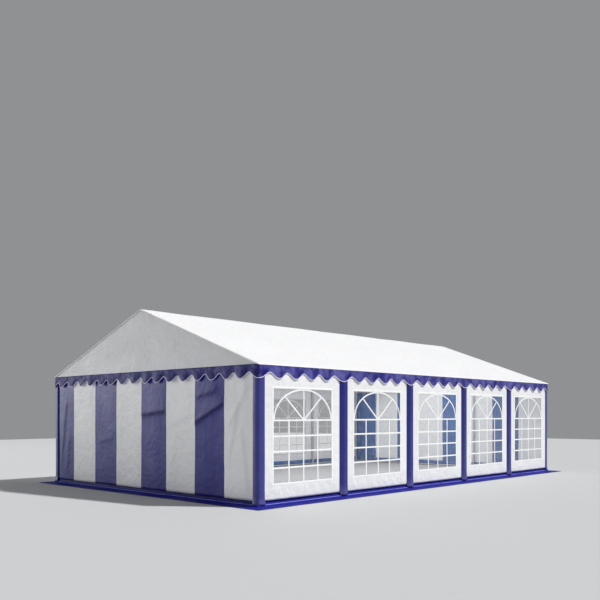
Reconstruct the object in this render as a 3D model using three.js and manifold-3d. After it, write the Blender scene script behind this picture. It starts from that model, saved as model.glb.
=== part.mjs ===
import * as THREE from 'three';
import { mergeVertices } from 'three/addons/utils/BufferGeometryUtils.js';
import Module from 'manifold-3d';

const wasm = await Module();
wasm.setup();

// A party tent: a galvanised tube frame under PVC sheets, in millimetres.
// X runs along the tent, Y across it and Z up from the ground. The origin is at the middle of its ground plan.
// The front gable is at the low end of X and the right side at the low end of Y.
const bayLength = 2000;
const bayCount = 5;
const frameWidth = 6120; // between the axes of the left and right posts
const eaveHeight = 2218; // outer edge of the roof sheet
const ridgeHeight = 3357; // top of the roof sheet

// Steel tubes, with the slightly wider sleeves that join them
const postRadius = 25;
const sleeveRadius = 28;
const railRadius = 19;
const railSleeveRadius = 23;
const sleeveLength = 180;
const railSleeveReach = 70;
const socketReach = 90;
const tubeSides = 8;
const footSize = 150;
const footThickness = 6;
const footBlockWidth = 20;
const footSleeveTop = 150;
const anchorHoleRadius = 7;
const anchorHoleSides = 6;
const anchorHoleOffset = 50;
const groundRailHeight = 28;
const railEndInset = 15; // a side's ground rail stops this far short of the end post's axis
const tieHeight = 2110;

// Sheets
const seat = 0.3; // gap between pieces that touch
const sheet = 3;
const film = 2;
const wallBottom = 119;
const wallTop = 2200;
const windowWidth = 1388;
const windowBottom = 359;
const windowTop = 1849;
const windowSeam = 30;
const coverWidth = 220;
const coverBulge = 11;
const coverBottom = 52;
const coverTop = 2190;
const cornerLeg = 130;
const cornerRadius = 8;
const skirtTop = 300;
const flapReach = 290;
const flapFold = 47; // height of the fold that lies along the ground rail
const flapLanding = 112; // where the flap reaches the ground, out from the post axis
const gableSheetBottom = 2150;
const scallopPitch = 400;
const gableScallopCount = 17;
const scallopLow = 1999;
const scallopHigh = 2099;
const scallopSteps = 6;

// Distances of the layers from the post axis, from the inside out
const filmLayer = sleeveRadius + seat; // also the skirt's
const panelLayer = filmLayer + film + seat;
const coverLayer = panelLayer + sheet + seat;
const valanceLayer = coverLayer + sheet + coverBulge + seat;
const gableSheetLayer = valanceLayer - seat - sheet;
const outerLayer = valanceLayer + sheet;

const halfLength = (bayLength * bayCount) / 2; // to the end post axes
const halfWidth = frameWidth / 2;
const slope = (ridgeHeight - eaveHeight) / (halfWidth + outerLayer);
const perSlope = 1 / Math.cos(Math.atan(slope)); // plumb height for each millimetre square to the roof
const midPurlinY = halfWidth / 2;
const gablePostY = frameWidth / 6;

const tent = new THREE.Group();

// Height of the roof sheet's underside at a distance from the ridge line
function roofUnderside(distance) {
  return ridgeHeight - slope * Math.abs(distance) - sheet * perSlope;
}

// Height of the rafter axis, which leaves its sleeves just under the roof sheet
function rafterAxis(distance) {
  return roofUnderside(distance) - (seat + sleeveRadius) * perSlope;
}

function steel() {
  return new THREE.MeshStandardMaterial({ color: 0xa9adb0, roughness: 0.45, metalness: 0.9 });
}

function whiteSheet() {
  return new THREE.MeshStandardMaterial({ color: 0xf2f2f4, roughness: 0.5, metalness: 0 });
}

function blueSheet() {
  return new THREE.MeshStandardMaterial({ color: 0x2b2f83, roughness: 0.5, metalness: 0 });
}

function stripedSheet() {
  return new THREE.MeshStandardMaterial({ color: 0x8d90bb, roughness: 0.5, metalness: 0 });
}

function clearFilm() {
  return new THREE.MeshStandardMaterial({ color: 0xdfe8f0, roughness: 0.1, metalness: 0 });
}

function addPiece(parent, name, geometry, material) {
  const mesh = new THREE.Mesh(geometry, material);
  mesh.name = name;
  parent.add(mesh);
  return mesh;
}

function toSolid(geometry) {
  const bare = geometry.clone();
  bare.deleteAttribute('normal');
  bare.deleteAttribute('uv');
  const merged = mergeVertices(bare);
  const vertProperties = new Float32Array(merged.attributes.position.array);
  const triVerts = new Uint32Array(merged.index.array);
  return new wasm.Manifold(new wasm.Mesh({ numProp: 3, vertProperties, triVerts }));
}

function toGeometry(solid) {
  const mesh = solid.getMesh();
  const geometry = new THREE.BufferGeometry();
  geometry.setAttribute('position', new THREE.BufferAttribute(new Float32Array(mesh.vertProperties), 3));
  geometry.setIndex(new THREE.BufferAttribute(new Uint32Array(mesh.triVerts), 1));
  return geometry;
}

// Joins a list of closed geometries and takes another list away from them
function joinAndCut(joined, cuts) {
  let solid = toSolid(joined[0]);
  for (const geometry of joined.slice(1)) {
    solid = solid.add(toSolid(geometry));
  }
  for (const geometry of cuts) {
    solid = solid.subtract(toSolid(geometry));
  }
  return toGeometry(solid);
}

// A round bar between two points, with a corner of its section towards X, or towards Y where it runs along X
function rod(radius, from, to, sides = tubeSides) {
  const start = new THREE.Vector3(...from);
  const end = new THREE.Vector3(...to);
  const along = new THREE.Vector3().subVectors(end, start).normalize();
  const side = Math.abs(along.x) > 0.5 ? new THREE.Vector3(0, 1, 0) : new THREE.Vector3(1, 0, 0);
  const across = new THREE.Vector3().crossVectors(side, along);
  const turn = new THREE.Matrix4().makeBasis(side, along, across);
  turn.setPosition(new THREE.Vector3().addVectors(start, end).multiplyScalar(0.5));
  const geometry = new THREE.CylinderGeometry(radius, radius, start.distanceTo(end), sides);
  return geometry.applyMatrix4(turn);
}

// A post from its foot plate up, with the wider sleeve round its lower end
function postPieces(y, top) {
  const bottom = footThickness + seat;
  const post = rod(postRadius, [0, y, bottom], [0, y, top]);
  const sleeve = rod(sleeveRadius, [0, y, bottom], [0, y, footSleeveTop]);
  return [post, sleeve];
}

// A rail along X on the ground, with a plate under each post that it runs through.
// Blocks beside the post join each plate to the rail.
function groundRail(railEnd, postPlaces, y) {
  const joined = [rod(railRadius, [-railEnd, y, groundRailHeight], [railEnd, y, groundRailHeight])];
  const cuts = [];
  const blockStart = sleeveRadius + seat;
  const blockLength = footSize / 2 - blockStart;
  for (const x of postPlaces) {
    const plate = new THREE.BoxGeometry(footSize, footSize, footThickness);
    joined.push(plate.translate(x, y, footThickness / 2));
    for (const side of [-1, 1]) {
      const blockX = x + side * (blockStart + blockLength / 2);
      if (Math.abs(blockX) < railEnd) {
        const block = new THREE.BoxGeometry(blockLength, footBlockWidth, groundRailHeight);
        joined.push(block.translate(blockX, y, groundRailHeight / 2));
      }
      const holeX = x + side * anchorHoleOffset;
      const holeY = y + side * anchorHoleOffset;
      const high = [holeX, holeY, 2 * footThickness];
      cuts.push(rod(anchorHoleRadius, [holeX, holeY, -footThickness], high, anchorHoleSides));
    }
  }
  return joinAndCut(joined, cuts);
}

// A portal across the tent: two posts, two rafters, sleeves for the purlins and bores for the ground rails.
// An end portal has its outside at negative X, and bores and sockets for the gable's rail and tie.
function portalFrame(isEnd) {
  const joined = [];
  const cuts = [];
  const sleeveStart = isEnd ? -sleeveRadius : -railSleeveReach;
  const railBoreStart = isEnd ? railEndInset - seat : -2 * railSleeveReach;
  const ridge = [0, 0, rafterAxis(0)];
  const midHeight = rafterAxis(midPurlinY);
  const out = sleeveLength / perSlope;
  const up = slope * out;
  for (const side of [-1, 1]) {
    const y = side * halfWidth;
    const eave = [0, y, rafterAxis(y)];
    joined.push(...postPieces(y, eave[2]));
    joined.push(rod(sleeveRadius, [0, y, eave[2] - sleeveLength], eave));
    joined.push(rod(postRadius, eave, ridge));
    joined.push(rod(sleeveRadius, eave, [0, y - side * out, eave[2] + up]));
    joined.push(rod(sleeveRadius, ridge, [0, side * out, ridge[2] - up]));
    for (const [sleeveY, sleeveZ] of [[y, eave[2]], [side * midPurlinY, midHeight]]) {
      joined.push(rod(railSleeveRadius, [sleeveStart, sleeveY, sleeveZ], [railSleeveReach, sleeveY, sleeveZ]));
      cuts.push(purlinBore(sleeveY, sleeveZ));
    }
    const railBore = [
      [railBoreStart, y, groundRailHeight],
      [2 * railSleeveReach, y, groundRailHeight],
    ];
    cuts.push(rod(railRadius + seat, ...railBore));
    if (isEnd) {
      joined.push(rod(railSleeveRadius, [0, y, tieHeight], [0, y - side * socketReach, tieHeight]));
      for (const height of [groundRailHeight, tieHeight]) {
        const bottom = [0, y - side * (postRadius - seat), height];
        cuts.push(rod(railRadius + seat, bottom, [0, y - side * 2 * socketReach, height]));
      }
    }
  }
  joined.push(rod(railSleeveRadius, [sleeveStart, 0, ridge[2]], [railSleeveReach, 0, ridge[2]]));
  cuts.push(purlinBore(0, ridge[2]));
  return joinAndCut(joined, cuts);
}

function purlinBore(y, z) {
  return rod(railRadius + seat, [-2 * railSleeveReach, y, z], [2 * railSleeveReach, y, z]);
}

// The gable's tie at eave height with the two posts that hold it up
function gableFrame() {
  const tieEnd = halfWidth - postRadius;
  const joined = [rod(railRadius, [0, -tieEnd, tieHeight], [0, tieEnd, tieHeight])];
  const cuts = [];
  for (const side of [-1, 1]) {
    const y = side * gablePostY;
    joined.push(...postPieces(y, rafterAxis(y) - postRadius / 2));
    cuts.push(rod(postRadius + seat, [0, side * halfWidth, rafterAxis(halfWidth)], [0, 0, rafterAxis(0)]));
  }
  cuts.push(rod(railRadius + seat, [0, -halfWidth, groundRailHeight], [0, halfWidth, groundRailHeight]));
  return joinAndCut(joined, cuts);
}

// An upright sheet whose outside faces negative Y, from an outline in X and Z
function uprightSheet(outline, layer, thickness) {
  const geometry = new THREE.ExtrudeGeometry(outline, { depth: thickness, bevelEnabled: false });
  geometry.rotateX(Math.PI / 2);
  geometry.translate(0, -layer, 0);
  return geometry;
}

function rectangle(left, right, bottom, top) {
  const corners = [[left, bottom], [right, bottom], [right, top], [left, top]];
  return new THREE.Shape(corners.map(([x, z]) => new THREE.Vector2(x, z)));
}

// A roof sheet over the ridge, from eave to eave and gable to gable
function roofSheet() {
  const edge = halfWidth + outerLayer;
  const outer = [[-edge, eaveHeight], [0, ridgeHeight], [edge, eaveHeight]];
  const inner = [[edge, roofUnderside(edge)], [0, roofUnderside(0)], [-edge, roofUnderside(edge)]];
  const outline = new THREE.Shape([...outer, ...inner].map(([y, z]) => new THREE.Vector2(y, z)));
  const length = 2 * (halfLength + outerLayer);
  const geometry = new THREE.ExtrudeGeometry(outline, { depth: length, bevelEnabled: false });
  geometry.rotateX(Math.PI / 2);
  geometry.rotateZ(Math.PI / 2);
  geometry.translate(-length / 2, 0, 0);
  return geometry;
}

function gableSheet() {
  const edge = halfWidth + gableSheetLayer + sheet;
  const clearance = seat * perSlope;
  const corners = [
    [-edge, gableSheetBottom],
    [edge, gableSheetBottom],
    [edge, roofUnderside(edge) - clearance],
    [0, roofUnderside(0) - clearance],
    [-edge, roofUnderside(edge) - clearance],
  ];
  const outline = new THREE.Shape(corners.map(([x, z]) => new THREE.Vector2(x, z)));
  return uprightSheet(outline, gableSheetLayer, sheet);
}

// A strip along the eave with a wavy lower edge, lowest over each post
function valance(halfSpan, pitch, lowestAt) {
  const top = roofUnderside(halfWidth + outerLayer) - seat;
  const middle = (scallopLow + scallopHigh) / 2;
  const swing = (scallopHigh - scallopLow) / 2;
  const step = pitch / scallopSteps;
  const lower = [];
  for (let x = -lowestAt; x <= lowestAt + step / 2; x += step) {
    const phase = (2 * Math.PI * (x + lowestAt)) / pitch;
    lower.push(new THREE.Vector2(x, middle - swing * Math.cos(phase)));
  }
  const outline = new THREE.Shape([
    new THREE.Vector2(-halfSpan, scallopLow),
    ...lower,
    new THREE.Vector2(halfSpan, scallopLow),
    new THREE.Vector2(halfSpan, top),
    new THREE.Vector2(-halfSpan, top),
  ]);
  return uprightSheet(outline, valanceLayer, sheet);
}

// A wall panel from post to post with one window cut through it
function sidePanel() {
  const half = bayLength / 2 - seat / 2;
  const outline = rectangle(-half, half, wallBottom, wallTop);
  outline.holes.push(rectangle(-windowWidth / 2, windowWidth / 2, windowBottom, windowTop));
  return uprightSheet(outline, panelLayer, sheet);
}

// The clear sheet behind all windows of one side
function windowFilm() {
  const outline = rectangle(-halfLength, halfLength, windowBottom - windowSeam, windowTop + windowSeam);
  return uprightSheet(outline, filmLayer, film);
}

function gableWall() {
  return uprightSheet(rectangle(-halfWidth, halfWidth, wallBottom, wallTop), panelLayer, sheet);
}

// A strip that bulges over a post, from an outline in X and Y
function postCover() {
  const steps = 8;
  const inner = [];
  for (let i = 0; i <= steps; i += 1) {
    const across = (2 * i) / steps - 1;
    const bulge = coverBulge * 0.5 * (1 + Math.cos(Math.PI * across));
    inner.push(new THREE.Vector2((across * coverWidth) / 2, -coverLayer - bulge));
  }
  const outer = inner.map((point) => new THREE.Vector2(point.x, point.y - sheet)).reverse();
  const outline = new THREE.Shape([...inner, ...outer]);
  const geometry = new THREE.ExtrudeGeometry(outline, { depth: coverTop - coverBottom, bevelEnabled: false });
  geometry.translate(0, 0, coverBottom);
  return geometry;
}

// An angle strip round a corner post, with its outside towards negative X and Y
function cornerCover() {
  const innerFace = coverLayer;
  const outerFace = coverLayer + sheet;
  const legEnd = cornerLeg - outerFace;
  const innerRadius = cornerRadius - sheet;
  const centre = cornerRadius - outerFace;
  const outline = new THREE.Shape();
  outline.moveTo(legEnd, -innerFace);
  outline.lineTo(legEnd, -outerFace);
  outline.lineTo(centre, -outerFace);
  outline.absarc(centre, centre, cornerRadius, -Math.PI / 2, -Math.PI, true);
  outline.lineTo(-outerFace, legEnd);
  outline.lineTo(-innerFace, legEnd);
  outline.lineTo(-innerFace, centre);
  outline.absarc(centre, centre, innerRadius, -Math.PI, -Math.PI / 2, false);
  const options = { depth: coverTop - coverBottom, bevelEnabled: false, curveSegments: 4 };
  const geometry = new THREE.ExtrudeGeometry(outline, options);
  geometry.translate(0, 0, coverBottom);
  return geometry;
}

// The blue band that shows under a wall, between the wall and the fold of the ground flap
function skirt(halfSpan) {
  return uprightSheet(rectangle(-halfSpan, halfSpan, flapFold + seat, skirtTop), filmLayer, film);
}

// The blue flap that goes from the fold by the ground rail down to the ground and out flat on it.
// Its ends are cut to a mitre, so four of them meet at the corners.
function groundFlap(halfSpan) {
  const profile = [
    [filmLayer, flapFold],
    [filmLayer, flapFold - sheet],
    [flapLanding, 0],
    [flapReach, 0],
    [flapReach, sheet],
    [flapLanding + sheet, sheet],
    [filmLayer + film, flapFold],
  ].map(([out, z]) => new THREE.Vector2(out, z));
  const positions = [];
  for (const end of [-1, 1]) {
    for (const point of profile) {
      positions.push(end * (halfSpan + point.x - seat), -point.x, point.y);
    }
  }
  const count = profile.length;
  const indices = [];
  for (const [a, b, c] of THREE.ShapeUtils.triangulateShape(profile, [])) {
    indices.push(a, b, c);
    indices.push(count + c, count + b, count + a);
  }
  for (let i = 0; i < count; i += 1) {
    const next = (i + 1) % count;
    indices.push(next, i, count + i);
    indices.push(next, count + i, count + next);
  }
  const geometry = new THREE.BufferGeometry();
  geometry.setAttribute('position', new THREE.Float32BufferAttribute(positions, 3));
  geometry.setIndex(indices);
  return geometry;
}

function addFrames() {
  const endPortal = portalFrame(true);
  const innerPortal = portalFrame(false);
  const gable = gableFrame();
  for (let i = 0; i <= bayCount; i += 1) {
    const isEnd = i === 0 || i === bayCount;
    const frame = addPiece(tent, `frame_${i + 1}`, isEnd ? endPortal : innerPortal, steel());
    frame.position.x = i * bayLength - halfLength;
    frame.rotation.z = i === bayCount ? Math.PI : 0;
  }
  for (const [end, x] of [['front', -halfLength], ['back', halfLength]]) {
    addPiece(tent, `gable_frame_${end}`, gable, steel()).position.x = x;
  }
}

function addRails() {
  const purlinEnd = halfLength + sleeveRadius;
  const railEnd = halfLength - railEndInset;
  const postPlaces = Array.from({ length: bayCount + 1 }, (_, i) => i * bayLength - halfLength);
  const purlin = (y) => rod(railRadius, [-purlinEnd, y, rafterAxis(y)], [purlinEnd, y, rafterAxis(y)]);
  addPiece(tent, 'ridge_purlin', purlin(0), steel());
  for (const [side, sign] of [['right', -1], ['left', 1]]) {
    addPiece(tent, `eave_purlin_${side}`, purlin(sign * halfWidth), steel());
    addPiece(tent, `mid_purlin_${side}`, purlin(sign * midPurlinY), steel());
    addPiece(tent, `ground_rail_${side}`, groundRail(railEnd, postPlaces, sign * halfWidth), steel());
  }
  const gableRail = groundRail(halfWidth - postRadius, [-gablePostY, gablePostY], 0);
  for (const [end, x] of [['front', -halfLength], ['back', halfLength]]) {
    const rail = addPiece(tent, `ground_rail_${end}`, gableRail, steel());
    rail.position.x = x;
    rail.rotation.z = Math.PI / 2;
  }
}

// A group in which a wall's frame axis lies on X and its outside faces negative Y
function wallGroup(turn, distance) {
  const turned = new THREE.Group();
  turned.rotation.z = turn;
  const wall = new THREE.Group();
  wall.position.y = -distance;
  turned.add(wall);
  tent.add(turned);
  return wall;
}

function addSide(side, turn) {
  const wall = wallGroup(turn, halfWidth);
  const direction = side === 'right' ? 1 : -1; // keeps the bays numbered from the front
  const panel = sidePanel();
  const cover = postCover();
  for (let i = 0; i < bayCount; i += 1) {
    const x = direction * ((i + 0.5) * bayLength - halfLength);
    addPiece(wall, `side_panel_${side}_${i + 1}`, panel, whiteSheet()).position.x = x;
  }
  for (let i = 1; i < bayCount; i += 1) {
    const x = direction * (i * bayLength - halfLength);
    addPiece(wall, `post_cover_${side}_${i}`, cover, blueSheet()).position.x = x;
  }
  addPiece(wall, `window_film_${side}`, windowFilm(), clearFilm());
  addPiece(wall, `skirt_${side}`, skirt(halfLength + sleeveRadius), blueSheet());
  addPiece(wall, `ground_flap_${side}`, groundFlap(halfLength), blueSheet());
  const valanceSpan = halfLength + valanceLayer - seat;
  addPiece(wall, `valance_${side}`, valance(valanceSpan, scallopPitch, halfLength), blueSheet());
}

function addGable(end, turn) {
  const wall = wallGroup(turn, halfLength);
  const pitch = frameWidth / gableScallopCount;
  addPiece(wall, `gable_wall_${end}`, gableWall(), stripedSheet());
  addPiece(wall, `gable_sheet_${end}`, gableSheet(), whiteSheet());
  addPiece(wall, `skirt_${end}`, skirt(halfWidth + filmLayer + film), blueSheet());
  addPiece(wall, `ground_flap_${end}`, groundFlap(halfWidth), blueSheet());
  addPiece(wall, `valance_${end}`, valance(halfWidth + outerLayer, pitch, halfWidth), blueSheet());
}

function addCornerCovers() {
  const corners = [
    ['front_right', -halfLength, -halfWidth, 0],
    ['back_right', halfLength, -halfWidth, Math.PI / 2],
    ['back_left', halfLength, halfWidth, Math.PI],
    ['front_left', -halfLength, halfWidth, -Math.PI / 2],
  ];
  for (const [corner, x, y, turn] of corners) {
    const cover = addPiece(tent, `corner_cover_${corner}`, cornerCover(), blueSheet());
    cover.position.set(x, y, 0);
    cover.rotation.z = turn;
  }
}

addFrames();
addRails();
addPiece(tent, 'roof_cover', roofSheet(), whiteSheet());
addSide('right', 0);
addSide('left', Math.PI);
addGable('front', -Math.PI / 2);
addGable('back', Math.PI / 2);
addCornerCovers();

export default tent;
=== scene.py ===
import math

import bpy
from mathutils import Matrix, Vector, noise


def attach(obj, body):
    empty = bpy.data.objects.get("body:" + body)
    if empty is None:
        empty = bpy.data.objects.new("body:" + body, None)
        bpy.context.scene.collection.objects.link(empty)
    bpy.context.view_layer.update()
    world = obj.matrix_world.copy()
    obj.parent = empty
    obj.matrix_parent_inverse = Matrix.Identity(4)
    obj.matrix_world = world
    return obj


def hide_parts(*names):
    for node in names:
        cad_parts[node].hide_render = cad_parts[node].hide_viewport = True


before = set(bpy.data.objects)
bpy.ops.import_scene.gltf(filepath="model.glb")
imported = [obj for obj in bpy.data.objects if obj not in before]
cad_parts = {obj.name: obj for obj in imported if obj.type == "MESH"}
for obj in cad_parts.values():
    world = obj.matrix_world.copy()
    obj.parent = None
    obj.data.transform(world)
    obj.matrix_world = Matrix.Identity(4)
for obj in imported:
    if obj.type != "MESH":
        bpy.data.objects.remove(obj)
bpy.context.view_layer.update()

# Metres. X runs along the ridge from the front gable, Y from the right side to the left one, Z up.
tent = {
    "bayLength": 2.0,
    "bayCount": 5,
    "halfLength": 5.0,  # to the end post axes
    "halfWidth": 3.06,
    "eave": 2.218,
    "ridge": 3.357,
    "roofEdge": 0.0512,  # roof sheet past the post axes
    "wallBottom": 0.095,
    "wallTop": 2.2,
    "thickness": 0.0016,  # of every sheet
}
slope = (tent["ridge"] - tent["eave"]) / (tent["halfWidth"] + tent["roofEdge"])
perSlope = math.sqrt(1 + slope * slope)

# From the post axis out to the middle of each sheet
layer = {
    "skirt": 0.0293,
    "film": 0.0293,
    "panel": 0.0324,
    "cover": 0.0358,
    "gableSheet": 0.0464,
    "valance": 0.0502,
    "roofHem": 0.0555,
}

# Each wall is drawn flat first: x along it, y up, z out from the post axis
walls = {
    "right": {"turn": 0, "away": tent["halfWidth"], "half": tent["halfLength"]},
    "back": {"turn": math.pi / 2, "away": tent["halfLength"], "half": tent["halfWidth"]},
    "left": {"turn": math.pi, "away": tent["halfWidth"], "half": tent["halfLength"]},
    "front": {"turn": -math.pi / 2, "away": tent["halfLength"], "half": tent["halfWidth"]},
}
longSides = ("right", "left")
gables = ("front", "back")


# Turns a flat drawing into its wall
def wallMatrix(wall):
    turned = Matrix.Rotation(walls[wall]["turn"], 4, "Z")
    moved = Matrix.Translation((0, -walls[wall]["away"], 0))
    return turned @ moved @ Matrix.Rotation(math.pi / 2, 4, "X")


# 0 at start, 1 at end, smooth between
def fade(value, start, end):
    t = min(1, max(0, (value - start) / (end - start)))
    return t * t * (3 - 2 * t)


# Smooth noise about zero. Each piece has a seed of its own, so that no two fold alike.
def ripple(a, b, seed):
    return noise.noise(Vector((a, b, seed)))


# Noise in one direction only. Its track is how fast it changes and which row of the noise it reads.
def along(track, a, seed):
    speed, row = track
    return ripple(a * speed, row, seed)


# Waves about a sheet's middle: how deep they are, and how fast they change in both directions
def waves(size, a, b, seed):
    depth, speedA, speedB = size
    return depth * ripple(a * speedA, b * speedB, seed)


# The same, outward only
def swell(size, a, b, seed):
    depth, speedA, speedB = size
    return depth * (1 + ripple(a * speedA, b * speedB, seed))


# Grid lines through all stops, no further apart than size
def linesThrough(stops, size):
    lines = [stops[0]]
    for start, end in zip(stops, stops[1:]):
        count = math.ceil((end - start) / size - 0.001)  # a whole count may be a hair over
        lines += [start + (end - start) * i / count for i in range(1, count + 1)]
    return lines


def newObject(name, data):
    made = bpy.data.objects.new(name, data)
    bpy.context.collection.objects.link(made)
    return made


# What an object shows, with its modifiers or its bevel, as a plain mesh
def plainMesh(shown):
    evaluated = shown.evaluated_get(bpy.context.evaluated_depsgraph_get())
    return bpy.data.meshes.new_from_object(evaluated)


# Cloth on a grid. Its UVs are metres on the flat cloth, moved by shift so no two pieces crease alike.
# A point attribute marks painted shade: 1 where a fold or a recess is painted darker and loses its coat.
def makeCloth(name, across, up, place, materials, keep=None, pick=None, shift=(0, 0), shadeAmount=None):
    faces = []
    flat = []
    looks = []
    spot = {}  # number of each corner that a face uses
    points = []
    shadeAmounts = []

    def corner(i, j):
        if (i, j) not in spot:
            spot[(i, j)] = len(points)
            points.append(place(across[i], up[j]))
            shadeAmounts.append(shadeAmount(across[i], up[j]) if shadeAmount else 0)
        return spot[(i, j)]

    for j in range(len(up) - 1):
        for i in range(len(across) - 1):
            a = (across[i] + across[i + 1]) / 2
            b = (up[j] + up[j + 1]) / 2
            if keep and not keep(a, b):
                continue
            ring = [(i, j), (i + 1, j), (i + 1, j + 1), (i, j + 1)]
            faces.append([corner(*at) for at in ring])
            for column, row in ring:
                flat += [across[column] + shift[0], up[row] + shift[1]]
            looks.append(pick(a, b) if pick else 0)
    mesh = bpy.data.meshes.new(name)
    mesh.from_pydata(points, [], faces)
    mesh.uv_layers.new(name="cloth").data.foreach_set("uv", flat)
    mesh.attributes.new("paintedShade", "FLOAT", "POINT").data.foreach_set("value", shadeAmounts)
    for material in materials:
        mesh.materials.append(material)
    mesh.polygons.foreach_set("material_index", looks)
    mesh.polygons.foreach_set("use_smooth", [True] * len(faces))
    return newObject(name, mesh)


# How far a sheet's UVs are moved: across by a share of its seed, and up
def patternShift(at, seed):
    perSeed, up = at
    return (seed * perSeed, up)


# Turns the upward UVs of a piece whose rows are shares of its height back into metres
def stretchUvs(piece, start, height):
    for loop in piece.data.uv_layers["cloth"].data:
        loop.uv.y = start + (loop.uv.y - start) * height


# Gives a sheet its thickness. Its back takes the material that stands insideStep places further on.
def thicken(piece, thickness, insideStep=0):
    shell = piece.modifiers.new("thickness", "SOLIDIFY")
    shell.thickness = thickness
    shell.offset = 0
    shell.material_offset = insideStep


# Hands a finished piece to the frame
def settle(piece, nodes=()):
    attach(piece, "root")
    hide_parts(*nodes)


# Stands a flat sheet in its place, gives it its thickness and hands it over
def hang(sheet, matrix, nodes, insideStep=0):
    sheet.data.transform(matrix)
    thicken(sheet, tent["thickness"], insideStep)
    settle(sheet, nodes)


def makeTree(kind, name, inputs, outputs):
    tree = bpy.data.node_groups.new(name, kind)
    for label, socket in inputs:
        tree.interface.new_socket(label, in_out="INPUT", socket_type=socket)
    for label, socket in outputs:
        tree.interface.new_socket(label, in_out="OUTPUT", socket_type=socket)
    return tree, tree.nodes.new("NodeGroupInput"), tree.nodes.new("NodeGroupOutput")


# A node with some of its inputs set, or linked where the value is an output socket
def addNode(tree, kind, values=None, **settings):
    node = tree.nodes.new(kind)
    for name, value in settings.items():
        setattr(node, name, value)
    for socket, value in (values or {}).items():
        if isinstance(value, bpy.types.NodeSocket):
            tree.links.new(value, node.inputs[socket])
        else:
            node.inputs[socket].default_value = value
    return node


def calculate(tree, operation, *values):
    return addNode(tree, "ShaderNodeMath", dict(enumerate(values)), operation=operation).outputs[0]


def makeBlots(tree, place, scale, detail):
    values = {"Vector": place, "Scale": scale, "Detail": detail}
    return addNode(tree, "ShaderNodeTexNoise", values).outputs[0]


# Carries a value from one span over to another: straight with LINEAR, with soft ends otherwise
def carryOver(tree, value, old, new, kind="SMOOTHSTEP"):
    values = {"Value": value, "From Min": old[0], "From Max": old[1], "To Min": new[0], "To Max": new[1]}
    return addNode(tree, "ShaderNodeMapRange", values, interpolation_type=kind).outputs[0]


def mixColours(tree, factor, first, second):
    return addNode(tree, "ShaderNodeMix", {0: factor, 6: first, 7: second}, data_type="RGBA").outputs[2]


def useGroup(tree, group, values):
    return addNode(tree, "ShaderNodeGroup", values, node_tree=group).outputs[0]


# A shader group that reads a place and some sizes. Comes back with its inputs and its result's socket.
def makePatternGroup(name, sizes, result):
    inputs = [("Vector", "NodeSocketVector"), *((label, "NodeSocketFloat") for label in sizes)]
    tree, start, end = makeTree("ShaderNodeTree", name, inputs, [(result, "NodeSocketFloat")])
    return tree, start.outputs, end.inputs[result]


# Runs a geometry tree on a piece and keeps the plain mesh that comes out
def bakeTree(piece, tree, values):
    modifier = piece.modifiers.new(tree.name, "NODES")
    modifier.node_group = tree
    for item in tree.interface.items_tree:
        if item.in_out == "INPUT" and item.name in values:
            modifier[item.identifier] = values[item.name]
    mesh = plainMesh(piece)
    piece.modifiers.remove(modifier)
    piece.data = mesh
    return piece


# Scales are in cells a metre
pattern = {
    "stirScale": 1.7,  # of the noise that bends the crumples' cells
    "stirBy": (0.5, 0.5, 0.5),
    "fineScale": 3.1,  # of the finer creases, against the cells
    "fineShare": 0.45,
    "creaseBlots": 1.3,
    "dustAndHighlightBlots": 9.0,
    "highlightBlots": 4.0,
    "paintedHighlight": (0.15, 0.5),  # the span of the noise over which the painted highlight goes from none to whole
    "sheen": (0.35, 0.65),  # the same for dull and glossy places
}


# Coated cloth crumples: uneven cells whose walls are the creases
def makeCrumpleGroup():
    tree, given, height = makePatternGroup("crumples", ("Size", "Softness"), "Height")
    stirring = {"Vector": given["Vector"], "Scale": pattern["stirScale"], "Detail": 2.0}
    stir = addNode(tree, "ShaderNodeTexNoise", stirring)
    stirred = {0: stir.outputs["Color"], 1: pattern["stirBy"], 2: given["Vector"]}
    place = addNode(tree, "ShaderNodeVectorMath", stirred, operation="MULTIPLY_ADD").outputs[0]
    scale = calculate(tree, "DIVIDE", 1.0, given["Size"])
    cells = {"Vector": place, "Scale": scale, "Smoothness": given["Softness"], "Detail": 1.0}
    creases = addNode(tree, "ShaderNodeTexVoronoi", cells, feature="SMOOTH_F1", voronoi_dimensions="2D")
    fine = makeBlots(tree, place, calculate(tree, "MULTIPLY", scale, pattern["fineScale"]), 3.0)
    softened = calculate(tree, "MULTIPLY", fine, pattern["fineShare"])
    tree.links.new(calculate(tree, "ADD", creases.outputs["Distance"], softened), height)
    return tree


# Marks from the folded pack: straight creases at even distances, stronger in some places
def makePackCreaseGroup():
    tree, given, height = makePatternGroup("packCreases", ("Spacing", "Width"), "Height")
    split = addNode(tree, "ShaderNodeSeparateXYZ", {0: given["Vector"]})
    half = calculate(tree, "MULTIPLY", given["Spacing"], 0.5)
    lines = []
    for axis in ("X", "Y"):
        away = calculate(tree, "PINGPONG", split.outputs[axis], half)
        lines.append(carryOver(tree, away, (0.0, given["Width"]), (1.0, 0.0)))
    both = calculate(tree, "MAXIMUM", *lines)
    patches = makeBlots(tree, given["Vector"], pattern["creaseBlots"], 1.0)
    tree.links.new(calculate(tree, "MULTIPLY", both, patches), height)
    return tree


# The cloth's threads, which show faintly through the coat
def makeThreadGroup():
    tree, given, height = makePatternGroup("threads", ("Thread Width",), "Height")
    split = addNode(tree, "ShaderNodeSeparateXYZ", {0: given["Vector"]})
    rows = []
    for axis in ("X", "Y"):
        turns = calculate(tree, "DIVIDE", split.outputs[axis], given["Thread Width"])
        rows.append(calculate(tree, "SINE", calculate(tree, "MULTIPLY", turns, math.pi)))
    tree.links.new(calculate(tree, "MULTIPLY", *rows), height)
    return tree
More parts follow.
